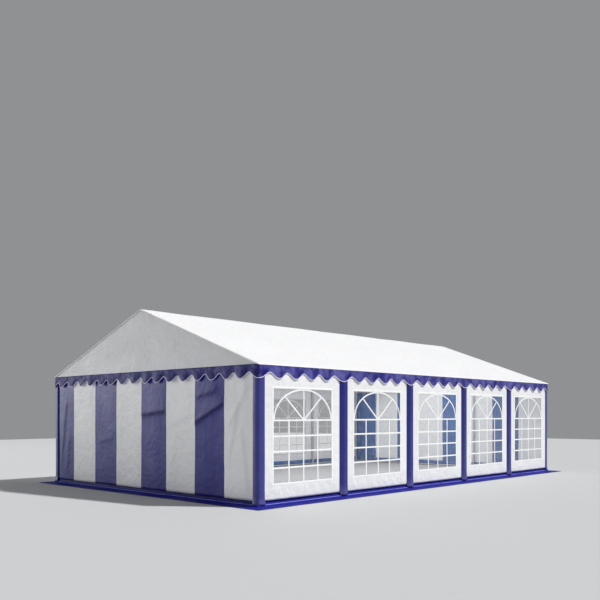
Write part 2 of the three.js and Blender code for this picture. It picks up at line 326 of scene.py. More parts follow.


# Dust and splashed soil, thickest at the ground. On the post strips the same mask carries a pale painted
# highlight at the foot.
def makeDustAndHighlightGroup():
    tree, given, mask = makePatternGroup("groundDustAndHighlight", ("Reach", "Amount"), "Mask")
    split = addNode(tree, "ShaderNodeSeparateXYZ", {0: given["Vector"]})
    low = carryOver(tree, split.outputs["Z"], (0.0, given["Reach"]), (1.0, 0.0))
    uneven = calculate(tree, "MULTIPLY", low, makeBlots(tree, given["Vector"], pattern["dustAndHighlightBlots"], 5.0))
    tree.links.new(calculate(tree, "MULTIPLY", uneven, given["Amount"]), mask)
    return tree


# A painted highlight along a fold: a pale band at one height, broken up along its length
def makeFoldHighlightGroup():
    tree, given, mask = makePatternGroup("paintedFoldHighlight", ("Height", "Width"), "Mask")
    split = addNode(tree, "ShaderNodeSeparateXYZ", {0: given["Vector"]})
    away = calculate(tree, "ABSOLUTE", calculate(tree, "SUBTRACT", split.outputs["Z"], given["Height"]))
    band = carryOver(tree, away, (0.0, given["Width"]), (1.0, 0.0))
    brokenUp = makeBlots(tree, given["Vector"], pattern["highlightBlots"], 3.0)
    amount = carryOver(tree, brokenUp, pattern["paintedHighlight"], (0.0, 1.0), "LINEAR")
    tree.links.new(calculate(tree, "MULTIPLY", band, amount), mask)
    return tree


# How glossy the coat is: uneven over the cloth, and none under painted shade, which paints out the coat's
# reflection in folds and recesses
def makeSheenGroup():
    tree, given, amount = makePatternGroup("patchySheen", ("Size", "Spread", "Painted Shade"), "Amount")
    blots = makeBlots(tree, given["Vector"], calculate(tree, "DIVIDE", 1.0, given["Size"]), 2.0)
    around = carryOver(tree, blots, pattern["sheen"], (-1.0, 1.0))
    uneven = calculate(tree, "MULTIPLY_ADD", around, given["Spread"], 1.0)
    outside = calculate(tree, "SUBTRACT", 1.0, given["Painted Shade"])
    tree.links.new(calculate(tree, "MULTIPLY", uneven, outside), amount)
    return tree


crumples = makeCrumpleGroup()
packCreases = makePackCreaseGroup()
threads = makeThreadGroup()
groundDustAndHighlight = makeDustAndHighlightGroup()
paintedFoldHighlight = makeFoldHighlightGroup()
patchySheen = makeSheenGroup()


def newMaterial(name, shader):
    material = bpy.data.materials.new(name)
    material.use_nodes = True
    surface = material.node_tree.nodes["Principled BSDF"]
    for socket, value in shader.items():
        surface.inputs[socket].default_value = value
    return material, material.node_tree, surface


def addBumps(tree, surface, heights):
    normal = None
    for height, depth in heights:
        bump = addNode(tree, "ShaderNodeBump", {"Height": height, "Strength": 1.0, "Distance": depth})
        if normal:
            tree.links.new(normal, bump.inputs["Normal"])
        normal = bump.outputs[0]
    tree.links.new(normal, surface.inputs["Normal"])


coatedWhiteLook = {
    "colour": (0.84, 0.84, 0.845, 1),
    "second": (0.79, 0.79, 0.8, 1),
    "patchSize": 0.43,
    "patchEdge": 0.5,  # less is harder
    "dustAndHighlight": (0.42, 0.38, 0.31, 1),
    "dustAndHighlightReach": 0.4,
    "dustAndHighlightAmount": 0.12,
    "roughness": (0.36, 0.5),
    "crumpleSize": 0.16,
    "crumpleSoftness": 0.6,
    "crumpleDepth": 0.006,
    "creaseSpacing": 0.52,
    "creaseWidth": 0.01,
    "creaseDepth": 0.0012,
    "threadWidth": 0.0022,
    "threadDepth": 0.00006,
    "through": 0.35,  # light that seeps through the sheet
    "depths": (0.8, 0.9, 1.0),  # how far each colour of it gets
    "gloss": 0.35,
    "sheen": 0.15,  # weight of the glossy coat
    "sheenSize": 0.3,  # of its glossier and duller places
    "sheenSpread": 0.3,
    # colour of the painted shade in folds and recesses
    "paintedShade": (0.76, 0.76, 0.775, 1),
}
# the gable triangles, painted a little greyer than the walls: painted shade
shadedTriangleLook = dict(
    coatedWhiteLook,
    colour=(0.7, 0.7, 0.705, 1),
    second=(0.66, 0.66, 0.67, 1),
    crumpleDepth=0.004,
)
coatedBlueLook = dict(
    coatedWhiteLook,
    colour=(0.014, 0.016, 0.25, 1),
    second=(0.008, 0.01, 0.185, 1),
    dustAndHighlight=(0.16, 0.16, 0.24, 1),
    dustAndHighlightAmount=0.15,
    roughness=(0.3, 0.42),
    crumpleSize=0.12,
    crumpleDepth=0.0033,
    through=0.3,
    depths=(0.24, 0.42, 1.0),
    gloss=0.16,
    sheen=0.36,
    sheenSpread=0.12,
    paintedShade=(0.006, 0.004, 0.1, 1),
)
# the wavy strips, which crumple most. For the sunlit long sides: a lighter base and strong light and dark
# patches, which are painted light and painted sheen.
litValanceLook = dict(
    coatedBlueLook,
    colour=(0.115, 0.108, 0.36, 1),
    second=(0.014, 0.015, 0.18, 1),
    patchSize=0.16,
    patchEdge=0.16,
    crumpleSize=0.09,
    crumpleDepth=0.007,
    roughness=(0.28, 0.42),
    gloss=0.16,
    sheen=0.36,
    sheenSize=0.1,
    sheenSpread=0.7,
    paintedShade=(0.01, 0.006, 0.13, 1),
    dustAndHighlightAmount=0.0,
)
# the same on the gables: a darker, less glossy copy, which is painted shade for the shaded gables
shadedValanceLook = dict(
    litValanceLook,
    colour=(0.07, 0.066, 0.25, 1),
    second=(0.012, 0.012, 0.14, 1),
    roughness=(0.42, 0.55),
    gloss=0.14,
    sheen=0.1,
)
# the back of blue cloth, which is dull, with a paler colour: a painted glow of light that comes through
# the sheet
blueBackGlowLook = dict(
    coatedBlueLook,
    colour=(0.035, 0.14, 0.4, 1),
    second=(0.026, 0.11, 0.33, 1),
    roughness=(0.55, 0.7),
    gloss=0.3,
    sheen=0.0,
    paintedShade=(0.03, 0.12, 0.36, 1),
)
# the strips over the posts, pale at the foot: a painted highlight where the flared foot catches the light
coverBlueLook = dict(
    coatedBlueLook,
    colour=(0.01, 0.013, 0.2, 1),
    second=(0.006, 0.008, 0.15, 1),
    dustAndHighlight=(0.14, 0.13, 0.33, 1),
    dustAndHighlightReach=0.28,
    dustAndHighlightAmount=1.1,
    sheen=0.6,
)
# those round the corner posts, a lighter blue with more coat
cornerBlueLook = dict(
    coverBlueLook,
    colour=(0.045, 0.048, 0.27, 1),
    second=(0.033, 0.036, 0.23, 1),
    dustAndHighlightReach=0.2,
    sheen=0.68,
)
groundBlueLook = dict(
    coatedBlueLook,
    colour=(0.012, 0.014, 0.25, 1),
    second=(0.008, 0.009, 0.19, 1),
    dustAndHighlight=(0.05, 0.05, 0.08, 1),
    dustAndHighlightReach=0.03,
    roughness=(0.42, 0.55),
    through=0.1,
    gloss=0.12,
    sheen=0.0,
    paintedShade=(0.004, 0.003, 0.12, 1),
    paintedHighlight=(0.26, 0.28, 0.68, 1),
    highlightHeight=0.033,
    highlightWidth=0.006,
)


# PVC-coated cloth: satin, crumpled, creased from its pack, with a trace of threads
def makeCoatedCloth(name, look):
    shader = {
        "Coat Roughness": 0.35,
        "Specular IOR Level": look["gloss"],
        "Subsurface Weight": look["through"],
        "Subsurface Radius": look["depths"],
        "Subsurface Scale": 0.004,
    }
    material, tree, surface = newMaterial(name, shader)
    place = tree.nodes.new("ShaderNodeTexCoord").outputs
    cloth = place["UV"]
    tone = makeBlots(tree, cloth, 1 / look["patchSize"], 4.0)
    patches = carryOver(tree, tone, (0.5 - look["patchEdge"], 0.5 + look["patchEdge"]), (0.0, 1.0))
    # dust and splashed soil near the ground; on the post strips, a painted highlight at the foot
    dustAndHighlight = {"Vector": place["Object"], "Reach": look["dustAndHighlightReach"], "Amount": look["dustAndHighlightAmount"]}
    dustAndHighlightMask = useGroup(tree, groundDustAndHighlight, dustAndHighlight)
    clean = mixColours(tree, patches, look["colour"], look["second"])
    # painted highlight: a pale band along the fold over the ground rail
    if "paintedHighlight" in look:
        fold = {"Vector": place["Object"], "Height": look["highlightHeight"], "Width": look["highlightWidth"]}
        clean = mixColours(tree, useGroup(tree, paintedFoldHighlight, fold), clean, look["paintedHighlight"])
    # painted shade: folds and recesses are mixed toward a darker colour
    paintedShade = addNode(tree, "ShaderNodeAttribute", attribute_name="paintedShade").outputs["Fac"]
    clean = mixColours(tree, paintedShade, clean, look["paintedShade"])
    sheen = {"Vector": cloth, "Size": look["sheenSize"], "Spread": look["sheenSpread"], "Painted Shade": paintedShade}
    coat = calculate(tree, "MULTIPLY", useGroup(tree, patchySheen, sheen), look["sheen"])
    tree.links.new(coat, surface.inputs["Coat Weight"])
    tree.links.new(mixColours(tree, dustAndHighlightMask, clean, look["dustAndHighlight"]), surface.inputs["Base Color"])
    rough = carryOver(tree, patches, (0.0, 1.0), look["roughness"], "LINEAR")
    tree.links.new(calculate(tree, "ADD", rough, dustAndHighlightMask), surface.inputs["Roughness"])
    crumple = {"Vector": cloth, "Size": look["crumpleSize"], "Softness": look["crumpleSoftness"]}
    crease = {"Vector": cloth, "Spacing": look["creaseSpacing"], "Width": look["creaseWidth"]}
    thread = {"Vector": cloth, "Thread Width": look["threadWidth"]}
    addBumps(tree, surface, [
        (useGroup(tree, crumples, crumple), look["crumpleDepth"]),
        (useGroup(tree, packCreases, crease), look["creaseDepth"]),
        (useGroup(tree, threads, thread), look["threadDepth"]),
    ])
    return material


trimLook = {
    "colour": (0.95, 0.95, 0.945, 1),
    "second": (0.9, 0.9, 0.89, 1),
    "patchScale": 6.0,
    "roughness": (0.35, 0.5),
    "grainScale": 180.0,
    "grain": 0.0004,
}
bindingLook = dict(trimLook, colour=(0.74, 0.71, 0.95, 1), second=(0.66, 0.63, 0.87, 1), grain=0.0003)


# The strips welded on the windows and the tape round the valance
def makeTrim(name, look):
    material, tree, surface = newMaterial(name, {"Coat Weight": 0.1, "Coat Roughness": 0.3})
    place = tree.nodes.new("ShaderNodeTexCoord").outputs["Object"]
    patches = makeBlots(tree, place, look["patchScale"], 4.0)
    tree.links.new(mixColours(tree, patches, look["colour"], look["second"]), surface.inputs["Base Color"])
    rough = carryOver(tree, patches, (0.0, 1.0), look["roughness"], "LINEAR")
    tree.links.new(rough, surface.inputs["Roughness"])
    addBumps(tree, surface, [(makeBlots(tree, place, look["grainScale"], 2.0), look["grain"])])
    return material


filmLook = {
    "tint": (0.8, 0.84, 0.88, 1),
    "hazy": (0.95, 0.96, 0.98, 1),
    "hazeScale": 3.0,
    "faceOn": 0.015,  # how much it hides
    # how much the painted highlights along the crinkles hide
    "crinkled": 0.05,
    # at a grazing angle: the real reflection shows more, and a painted whiteness with it
    "edgeOn": 0.6,
    "turn": 4.0,  # more keeps it clear up to a shallower angle
    "crinkleSize": 0.08,
    "crinkleSoftness": 0.2,
    "crinkleEdge": (0.8, 0.95),
    "crinkleDepth": 0.012,
}


# Soft clear film, a little hazy. At a shallow angle more of it shows: its real reflection, with a painted
# whiteness added. Its crinkles bump it, and pale streaks along them are painted highlights.
def makeFilm():
    material, tree, surface = newMaterial("clearFilm", {"Roughness": 0.08, "IOR": 1.45})
    place = tree.nodes.new("ShaderNodeTexCoord").outputs["UV"]
    haze = makeBlots(tree, place, filmLook["hazeScale"], 5.0)
    colour = mixColours(tree, haze, filmLook["tint"], filmLook["hazy"])
    tree.links.new(colour, surface.inputs["Base Color"])
    cells = {"Vector": place, "Size": filmLook["crinkleSize"], "Softness": filmLook["crinkleSoftness"]}
    crinkle = useGroup(tree, crumples, cells)
    streaks = carryOver(tree, crinkle, filmLook["crinkleEdge"], (0.0, filmLook["crinkled"]))
    facing = addNode(tree, "ShaderNodeLayerWeight", {"Blend": 0.5}).outputs["Facing"]
    turned = calculate(tree, "POWER", facing, filmLook["turn"])
    slanted = calculate(tree, "MULTIPLY", turned, filmLook["edgeOn"])
    marks = calculate(tree, "ADD", calculate(tree, "MULTIPLY", haze, streaks), filmLook["faceOn"])
    tree.links.new(calculate(tree, "ADD", marks, slanted), surface.inputs["Alpha"])
    addBumps(tree, surface, [(crinkle, filmLook["crinkleDepth"])])
    return material


steelLook = {
    "light": (0.62, 0.64, 0.66, 1),
    "dark": (0.4, 0.42, 0.45, 1),
    "spangle": 0.012,
    "spangleDepth": 0.0002,
    "weatherScale": 7.0,
    "roughness": (0.32, 0.55),
    "scratchScale": 240.0,
    "scratchDepth": 0.0001,
}


# Hot-dip zinc: spangled, dull where it has weathered, with fine scratches
def makeGalvanised():
    material, tree, surface = newMaterial("galvanisedSteel", {"Metallic": 0.9})
    place = tree.nodes.new("ShaderNodeTexCoord").outputs["Object"]
    cells = {"Vector": place, "Scale": 1 / steelLook["spangle"]}
    spangle = addNode(tree, "ShaderNodeTexVoronoi", cells).outputs["Color"]
    tone = addNode(tree, "ShaderNodeSeparateColor", {0: spangle}).outputs[0]
    weather = makeBlots(tree, place, steelLook["weatherScale"], 6.0)
    uneven = calculate(tree, "MULTIPLY", tone, weather)
    colour = mixColours(tree, uneven, steelLook["light"], steelLook["dark"])
    tree.links.new(colour, surface.inputs["Base Color"])
    rough = carryOver(tree, weather, (0.0, 1.0), steelLook["roughness"], "LINEAR")
    tree.links.new(rough, surface.inputs["Roughness"])
    scratches = makeBlots(tree, place, steelLook["scratchScale"], 2.0)
    addBumps(tree, surface, [(tone, steelLook["spangleDepth"]), (scratches, steelLook["scratchDepth"])])
    return material


coatedWhite = makeCoatedCloth("coatedWhite", coatedWhiteLook)
shadedTriangleWhite = makeCoatedCloth("shadedTriangleWhite", shadedTriangleLook)
coatedBlue = makeCoatedCloth("coatedBlue", coatedBlueLook)
litValanceBlue = makeCoatedCloth("litValanceBlue", litValanceLook)
shadedValanceBlue = makeCoatedCloth("shadedValanceBlue", shadedValanceLook)
blueBackGlow = makeCoatedCloth("blueBackGlow", blueBackGlowLook)
coverBlue = makeCoatedCloth("coverBlue", coverBlueLook)
cornerBlue = makeCoatedCloth("cornerBlue", cornerBlueLook)
groundBlue = makeCoatedCloth("groundBlue", groundBlueLook)
weldedTrim = makeTrim("weldedTrim", trimLook)
bindingTape = makeTrim("bindingTape", bindingLook)
clearFilm = makeFilm()
galvanisedSteel = makeGalvanised()
print("materials made")


# A geometry tree with named sizes. Comes back with its inputs and its result's socket.
def makeShapeTree(name, sizes):
    geometry = ("Geometry", "NodeSocketGeometry")
    floats = [(label, "NodeSocketFloat") for label in sizes]
    inputs = [geometry, *floats, ("Material", "NodeSocketMaterial")]
    tree, start, end = makeTree("GeometryNodeTree", name, inputs, [geometry])
    return tree, start.outputs, end.inputs["Geometry"]


# Every geometry tree ends as plain geometry with its material on
def endShapeTree(tree, shape, material, result):
    real = addNode(tree, "GeometryNodeRealizeInstances", {"Geometry": shape.outputs[0]})
    dressed = addNode(tree, "GeometryNodeSetMaterial", {"Geometry": real.outputs[0], "Material": material})
    tree.links.new(dressed.outputs[0], result)
    return tree


# Sweeps a strip with rounded edges along drawn lines
def makeStripTree():
    tree, given, result = makeShapeTree("stripOnLines", ("Width", "Thickness", "Edge Radius"))
    line = addNode(tree, "GeometryNodeMeshToCurve", {"Mesh": given["Geometry"]})
    flat = addNode(tree, "GeometryNodeSetCurveNormal", {"Curve": line.outputs[0]}, mode="Z_UP")
    sizes = {"Width": given["Width"], "Height": given["Thickness"]}
    section = addNode(tree, "GeometryNodeCurvePrimitiveQuadrilateral", sizes)
    corners = {"Curve": section.outputs[0], "Radius": given["Edge Radius"], "Count": 2}
    rounded = addNode(tree, "GeometryNodeFilletCurve", corners, mode="POLY")
    parts = {"Curve": flat.outputs[0], "Profile Curve": rounded.outputs[0], "Fill Caps": True}
    swept = addNode(tree, "GeometryNodeCurveToMesh", parts)
    return endShapeTree(tree, swept, given["Material"], result)


# Puts a bolt with its washer on each point, its head along the point's facing attribute
def makeBoltTree():
    sizes = ("Head Width", "Head Height", "Washer Width", "Washer Height")
    tree, given, result = makeShapeTree("boltsOnPoints", sizes)
    discs = []
    for part, sides in (("Head", 6), ("Washer", 16)):
        radius = calculate(tree, "MULTIPLY", given[f"{part} Width"], 0.5)
        disc = {"Vertices": sides, "Radius": radius, "Depth": given[f"{part} Height"]}
        discs.append(addNode(tree, "GeometryNodeMeshCylinder", disc).outputs[0])
    head, washer = discs
    lift = calculate(tree, "MULTIPLY", given["Head Height"], 0.5)
    raised = addNode(tree, "ShaderNodeCombineXYZ", {"Z": lift}).outputs[0]
    standing = addNode(tree, "GeometryNodeTransform", {"Geometry": head, "Translation": raised})
    joined = tree.nodes.new("GeometryNodeJoinGeometry")
    tree.links.new(standing.outputs[0], joined.inputs[0])
    tree.links.new(washer, joined.inputs[0])
    facing = addNode(tree, "GeometryNodeInputNamedAttribute", {"Name": "facing"}, data_type="FLOAT_VECTOR")
    turn = addNode(tree, "FunctionNodeAlignRotationToVector", {"Vector": facing.outputs[0]}, axis="Z")
    spread = {"Points": given["Geometry"], "Instance": joined.outputs[0], "Rotation": turn.outputs[0]}
    bolts = addNode(tree, "GeometryNodeInstanceOnPoints", spread)
    return endShapeTree(tree, bolts, given["Material"], result)


stripTree = makeStripTree()
boltTree = makeBoltTree()


def drawLines(name, lines):
    points = []
    edges = []
    for line in lines:
        edges += [(len(points) + i, len(points) + i + 1) for i in range(len(line) - 1)]
        points += line
    mesh = bpy.data.meshes.new(name)
    mesh.from_pydata(points, edges, [])
    return newObject(name, mesh)


def makeStrips(name, lines, width, thickness, edgeRound, material):
    sizes = {"Width": width, "Thickness": thickness, "Edge Radius": thickness * edgeRound}
    return bakeTree(drawLines(name, lines), stripTree, dict(sizes, Material=material))


# Puts one mesh after another into a single piece
def joinPieces(pieces):
    with bpy.context.temp_override(active_object=pieces[0], selected_editable_objects=pieces):
        bpy.ops.object.join()
    return pieces[0]


roofShape = {
    "grid": 0.05,
    "sag": 0.014,  # between rafters and purlins
    "purlinSag": 0.005,
    "ridgeRound": 0.02,
    "bend": 0.012,  # radius where the edges turn down
    "eaveHem": 0.004,
    "gableHem": 0.018,
    "hemCorner": 0.12,  # length over which it runs out at the eaves
    "hemCut": 0.9,  # how much of it runs out
    "ripple": (0.003, 1.9, 1.3),
    "overRafters": 0.25,  # how much of the ripples is left there
    "seed": 2.5,
    "calm": 0.2,  # width along the eaves without sag or ripples
    "ridgeLines": [-0.06, -0.03, -0.015, 0, 0.015, 0.03, 0.06],  # grid lines beside the ridge
}


# Middle of the roof sheet above a distance from the ridge line
def roofHeight(distance):
    return tent["ridge"] - tent["thickness"] - slope * math.hypot(distance, roofShape["ridgeRound"])


# Where a sheet gets to past an edge, when it turns from its slope into a plumb hem
def turnDown(past, startAngle):
    radius = roofShape["bend"]
    arc = radius * (math.pi / 2 - startAngle)
    angle = startAngle + min(past, arc) / radius
    out = radius * (math.sin(angle) - math.sin(startAngle))
    return out, radius * (math.cos(startAngle) - math.cos(angle)) + max(0, past - arc)


def makeRoof():
    tilt = math.atan(slope)
    bend = roofShape["bend"]
    edgeX = tent["halfLength"] + layer["roofHem"] - bend
    edgeY = tent["halfWidth"] + layer["roofHem"] - bend * (1 - math.sin(tilt))
    gableArc = bend * math.pi / 2
    eaveArc = bend * (math.pi / 2 - tilt)
    halfGirth = edgeY * perSlope

    def place(a, b):
        x = min(edgeX, max(-edgeX, a))
        y = min(edgeY, max(-edgeY, b / perSlope))
        bayX = math.sin(math.pi * (x + tent["halfLength"]) / tent["bayLength"]) ** 2
        bayY = math.sin(2 * math.pi * y / tent["halfWidth"]) ** 2
        if abs(x) > tent["halfLength"]:
            bayX = 0
        sag = bayX * (roofShape["sag"] * bayY + roofShape["purlinSag"])
        inside = fade(tent["halfWidth"] - abs(y), 0, roofShape["calm"])
        share = roofShape["overRafters"] + (1 - roofShape["overRafters"]) * bayX
        wave = waves(roofShape["ripple"], x, y, roofShape["seed"]) * share
        z = roofHeight(y) - inside * (sag - wave)
        past = max(0, abs(a) - edgeX)
        hem = max(0, past - gableArc)
        hem *= 1 - roofShape["hemCut"] * fade(abs(b), halfGirth - roofShape["hemCorner"], halfGirth)
        outX, downX = turnDown(min(past, gableArc) + hem, 0)
        outY, downY = turnDown(max(0, abs(b) - halfGirth), tilt)
        return (x + math.copysign(outX, a), y + math.copysign(outY, b), z - max(downX, downY))

    def keep(a, b):
        return not (abs(a) > edgeX + gableArc and abs(b) > halfGirth + eaveArc)

    endX = edgeX + gableArc + roofShape["gableHem"]
    endY = halfGirth + eaveArc + roofShape["eaveHem"]
    acrossEdge = [edgeX + gableArc * third / 3 for third in range(4)] + [endX]
    upEdge = [halfGirth + eaveArc * third / 3 for third in range(4)] + [endY]
    across = linesThrough([-v for v in reversed(acrossEdge)] + acrossEdge, roofShape["grid"])
    up = linesThrough([-v for v in reversed(upEdge)] + roofShape["ridgeLines"] + upEdge, roofShape["grid"])
    roof = makeCloth("roofSheet", across, up, place, [coatedWhite], keep)
    thicken(roof, tent["thickness"])
    settle(roof, ["roof_cover"])


makeRoof()
print("roof made")

gableSheetShape = {
    "bottom": 2.15,
    "past": 0.012,
    "underRoof": 0.004,
    "grid": 0.04,
    "billow": (0.004, 1.6, 0.9),
    "ripple": (0.0012, 7, 4),
    "heldTop": 0.15,  # how far from its edges the cloth is loose
    "heldSides": 0.3,
    "patternAt": (3, 40),  # moves its UVs, so that it creases unlike the other sheets
    "seeds": {"front": 3.5, "back": 4.5},
}


# The white triangle over a gable wall
def makeGableSheet(wall):
    seed = gableSheetShape["seeds"][wall]
    half = tent["halfWidth"] + gableSheetShape["past"]

    def topAt(a):
        return roofHeight(a) - gableSheetShape["underRoof"]

    def place(a, b):
        z = gableSheetShape["bottom"] + b * (topAt(a) - gableSheetShape["bottom"])
        free = fade(topAt(a) - z, 0, gableSheetShape["heldTop"])
        free *= fade(half - abs(a), 0, gableSheetShape["heldSides"])
        soft = waves(gableSheetShape["billow"], a, z, seed) + waves(gableSheetShape["ripple"], a, z, seed)
        return (a, z, layer["gableSheet"] + free * soft)

    rise = topAt(0) - gableSheetShape["bottom"]
    across = linesThrough([-half, 0, half], gableSheetShape["grid"])
    up = linesThrough([0, 1], gableSheetShape["grid"] / rise)
    shift = patternShift(gableSheetShape["patternAt"], seed)
    sheet = makeCloth(f"gableTriangle_{wall}", across, up, place, [shadedTriangleWhite], shift=shift)
    stretchUvs(sheet, shift[1], rise)
    hang(sheet, wallMatrix(wall), [f"gable_sheet_{wall}"])
    area = 2 * half * (rise + topAt(half) - gableSheetShape["bottom"]) / 2


for gable in gables:
    makeGableSheet(gable)

valanceShape = {
    "top": 2.2146,
    "middle": 2.046,
    "wave": {"right": 0.046, "left": 0.046, "front": 0.05, "back": 0.05},  # half the depth of the lobes
    "crowding": 0.5,  # of the lobes between two posts; those over the posts are wider
    "lobes": {"right": 25, "left": 25, "front": 17, "back": 17},
    "swing": {"right": 0.012, "left": 0.012, "front": 0.034, "back": 0.034},  # of the lobes, outward
    "lean": {"right": 0.012, "left": 0.012, "front": 0.04, "back": 0.04},  # of the lobes, sideways
    "swingInGaps": 0.1,  # share of it between the lobes
    "swingAtCorners": 0.3,
    "swingUneven": 0.9,
    "swingTrack": (1.7, 4.2),
    "swingCurve": 1.15,  # 1 is a straight slant down the lobes
    "leanTrack": (2.1, 0.3),
    "roundness": 0.09,  # makes the lobes wider than the gaps between them
    "plainCorner": 0.12,  # length at each end without folds
    "crinkle": (0.004, 13, 1.2),
    "shadeAmount": 0.9,  # how dark the painted shade on a lobe's turned side is
    "shadeLeast": 0.6,
    "shadeBlots": (1.2, 4.3, 0.8),
    "shadeDown": (0.15, 0.8),  # shares of the height between which it darkens
    "patternAt": (5, 60),
    "seeds": {"right": 7.5, "back": 9.5, "left": 11.5, "front": 13.5},
    "bindingWidth": 0.012,
    "bindingThickness": 0.0045,
    "bindingRound": 0.45,  # its edges' radius, as a share of the thickness
    "grid": 0.0175,
    "rows": 9,
}


# The wavy strip along an eave. It goes round to the middle of each corner.
def makeValance(wall):
    seed = valanceShape["seeds"][wall]
    half = walls[wall]["half"]
    corner = layer["valance"]  # its path turns about the post axis
    halfPath = half + corner * math.pi / 4
    middle = valanceShape["middle"]
    wave = valanceShape["wave"][wall]
    lobes = valanceShape["lobes"][wall]
    crowding = valanceShape["crowding"] if wall in longSides else 0

    def phase(a):
        share = (a + halfPath) / (2 * halfPath)
        bays = 2 * math.pi * tent["bayCount"] * share
        return 2 * math.pi * lobes * share - crowding * (math.sin(bays) + 0.5 * math.sin(2 * bays))

    def free(a):
        return fade(halfPath - abs(a), 0, valanceShape["plainCorner"])

    def place(a, b):
        lean = valanceShape["lean"][wall] * along(valanceShape["leanTrack"], a, seed) * free(a) * b * b
        lobe = 0.5 + 0.5 * math.cos(phase(a))
        uneven = 1 + valanceShape["swingUneven"] * along(valanceShape["swingTrack"], a, seed)
        uneven *= valanceShape["swingAtCorners"] + (1 - valanceShape["swingAtCorners"]) * free(a)
        share = valanceShape["swingInGaps"] + (1 - valanceShape["swingInGaps"]) * lobe
        bulge = valanceShape["swing"][wall] * share * uneven * b ** valanceShape["swingCurve"]
        out = max(0, bulge + waves(valanceShape["crinkle"], a, b, seed) * b * free(a))
        widened = valanceShape["roundness"] * (1 - math.cos(2 * phase(a)))
        bottom = middle - wave * (math.cos(phase(a)) + widened)
        z = valanceShape["top"] + (bottom - valanceShape["top"]) * b
        if abs(a) > half:
            turn = (abs(a) - half) / corner
            x = math.copysign(half + (corner + out) * math.sin(turn), a)
            return (x, z, (corner + out) * math.cos(turn))
        return (a + lean, z, corner + out)

    # painted shade on the side of each lobe that turns from the light
    def shadeAmount(a, b):
        uneven = valanceShape["shadeLeast"] + waves(valanceShape["shadeBlots"], a, b, seed)
        down = fade(b, *valanceShape["shadeDown"])
        return min(1, max(0, valanceShape["shadeAmount"] * math.sin(phase(a)) * down * uneven * free(a)))

    across = linesThrough([-halfPath, -half, half, halfPath], valanceShape["grid"])
    up = [1 - i / valanceShape["rows"] for i in range(valanceShape["rows"] + 1)]
    # painted light on the long sides, painted shade on the gables
    blue = litValanceBlue if wall in longSides else shadedValanceBlue
    name = f"valance_{wall}_wavy"
    shift = patternShift(valanceShape["patternAt"], seed)
    valance = makeCloth(name, across, up, place, [blue], shift=shift, shadeAmount=shadeAmount)
    height = valanceShape["top"] - middle
    stretchUvs(valance, shift[1], -height)
    edge = [place(a, 1) for a in across]
    tape = (valanceShape["bindingWidth"], valanceShape["bindingThickness"], valanceShape["bindingRound"])
    binding = makeStrips(f"valanceBinding_{wall}", [edge], *tape, bindingTape)
    for piece in (valance, binding):
        piece.data.transform(wallMatrix(wall))
        piece.data.shade_smooth()
    valance.data.materials.append(blueBackGlow)
    thicken(valance, tent["thickness"], 1)
    settle(valance, [f"valance_{wall}"])
    settle(binding)


for wall in walls:
    makeValance(wall)
print("gable triangles and valances made")

gableWallShape = {
    "grid": 0.03,
    "blueWidth": 0.747,
    "whiteWidth": 0.8,
    "firstEdge": 2.307,  # where the first white stripe ends, from the wall's middle
    "drape": (0.006, 2.3, 0.45),
    "ripple": (0.0014, 8, 4),
    "sway": (0.006, 2.1, 1.5),  # of the stripes, sideways; it changes upward first
    "loose": 0.8,  # how much more it drapes at the foot
    "looseBelow": 0.9,
    "heldSides": (0.12, 0.3),  # from the corners, where the cloth begins to come loose and where it is
    "heldTop": (1.9, 2.1),
    # soft folds that cross the stripes: from, to, how deep
    "folds": [
        {"from": (1.54, 1.29), "to": (2.28, 1.62), "depth": 0.014},
        {"from": (1.58, 1.72), "to": (2.1, 1.83), "depth": 0.008},
        {"from": (-0.02, 1.43), "to": (0.74, 1.5), "depth": 0.011},
        {"from": (2.42, 1.25), "to": (2.86, 1.87), "depth": 0.012},
        {"from": (2.4, 0.6), "to": (2.64, 1.6), "depth": 0.011},
        {"from": (2.86, 0.2), "to": (2.7, 1.2), "depth": 0.011},
        {"from": (0.85, 1.25), "to": (1.5, 1.45), "depth": 0.006},
        {"from": (-2.84, 0.3), "to": (-2.62, 1.7), "depth": 0.008},
        {"from": (-2.6, 0.25), "to": (-2.5, 1.0), "depth": 0.006},
        {"from": (-1.4, 0.9), "to": (-0.95, 0.98), "depth": 0.005},
    ],
    "foldAbove": 0.2,  # how far a fold's swelling reaches on its upper side
    "foldBelow": 0.05,
    "foldEnd": 0.1,  # how far it fades out at its ends
    "foldShade": {"width": 0.04, "below": 0.016, "full": 0.011},  # full is the depth that shades wholly
    # at one end the wall is laced to its post and sinks in beside it, up to where the channel ends
    "channel": {
        "from": -2.98,
        "to": -2.922,
        "depth": 0.058,
        "side": 0.008,
        "sway": 0.01,
        "swayTrack": (1.7, 0.4),
        "end": (2, 2.06),
    },
    "patternAt": (4, 20),
    "seeds": {"front": 1.5, "back": 3.5},
}


# How far a place is from a fold's line, positive above it, and how much of the fold is left there
def besideFold(a, b, fold):
    startA, startB = fold["from"]
    alongA = fold["to"][0] - startA
    alongB = fold["to"][1] - startB
    length = math.hypot(alongA, alongB)
    passed = ((a - startA) * alongA + (b - startB) * alongB) / length
    side = ((b - startB) * alongA - (a - startA) * alongB) / length
    end = gableWallShape["foldEnd"]
    return side, fade(passed, -end, end) * (1 - fade(passed, length - end, length + end))


# How far a fold pushes the cloth out: a swelling that ends sharply at its lower side
def foldPush(a, b, fold):
    side, share = besideFold(a, b, fold)
    reach = gableWallShape["foldAbove"] if side > 0 else gableWallShape["foldBelow"]
    return fold["depth"] * math.exp(-abs(side) / reach) * share


# How much painted shade a fold lays on the cloth under it, where it hides from the light
def foldShade(a, b, fold):
    shade = gableWallShape["foldShade"]
    side, share = besideFold(a, b, fold)
    band = math.exp(-(((side + shade["below"]) / shade["width"]) ** 2))
    return min(1, fold["depth"] / shade["full"]) * band * share


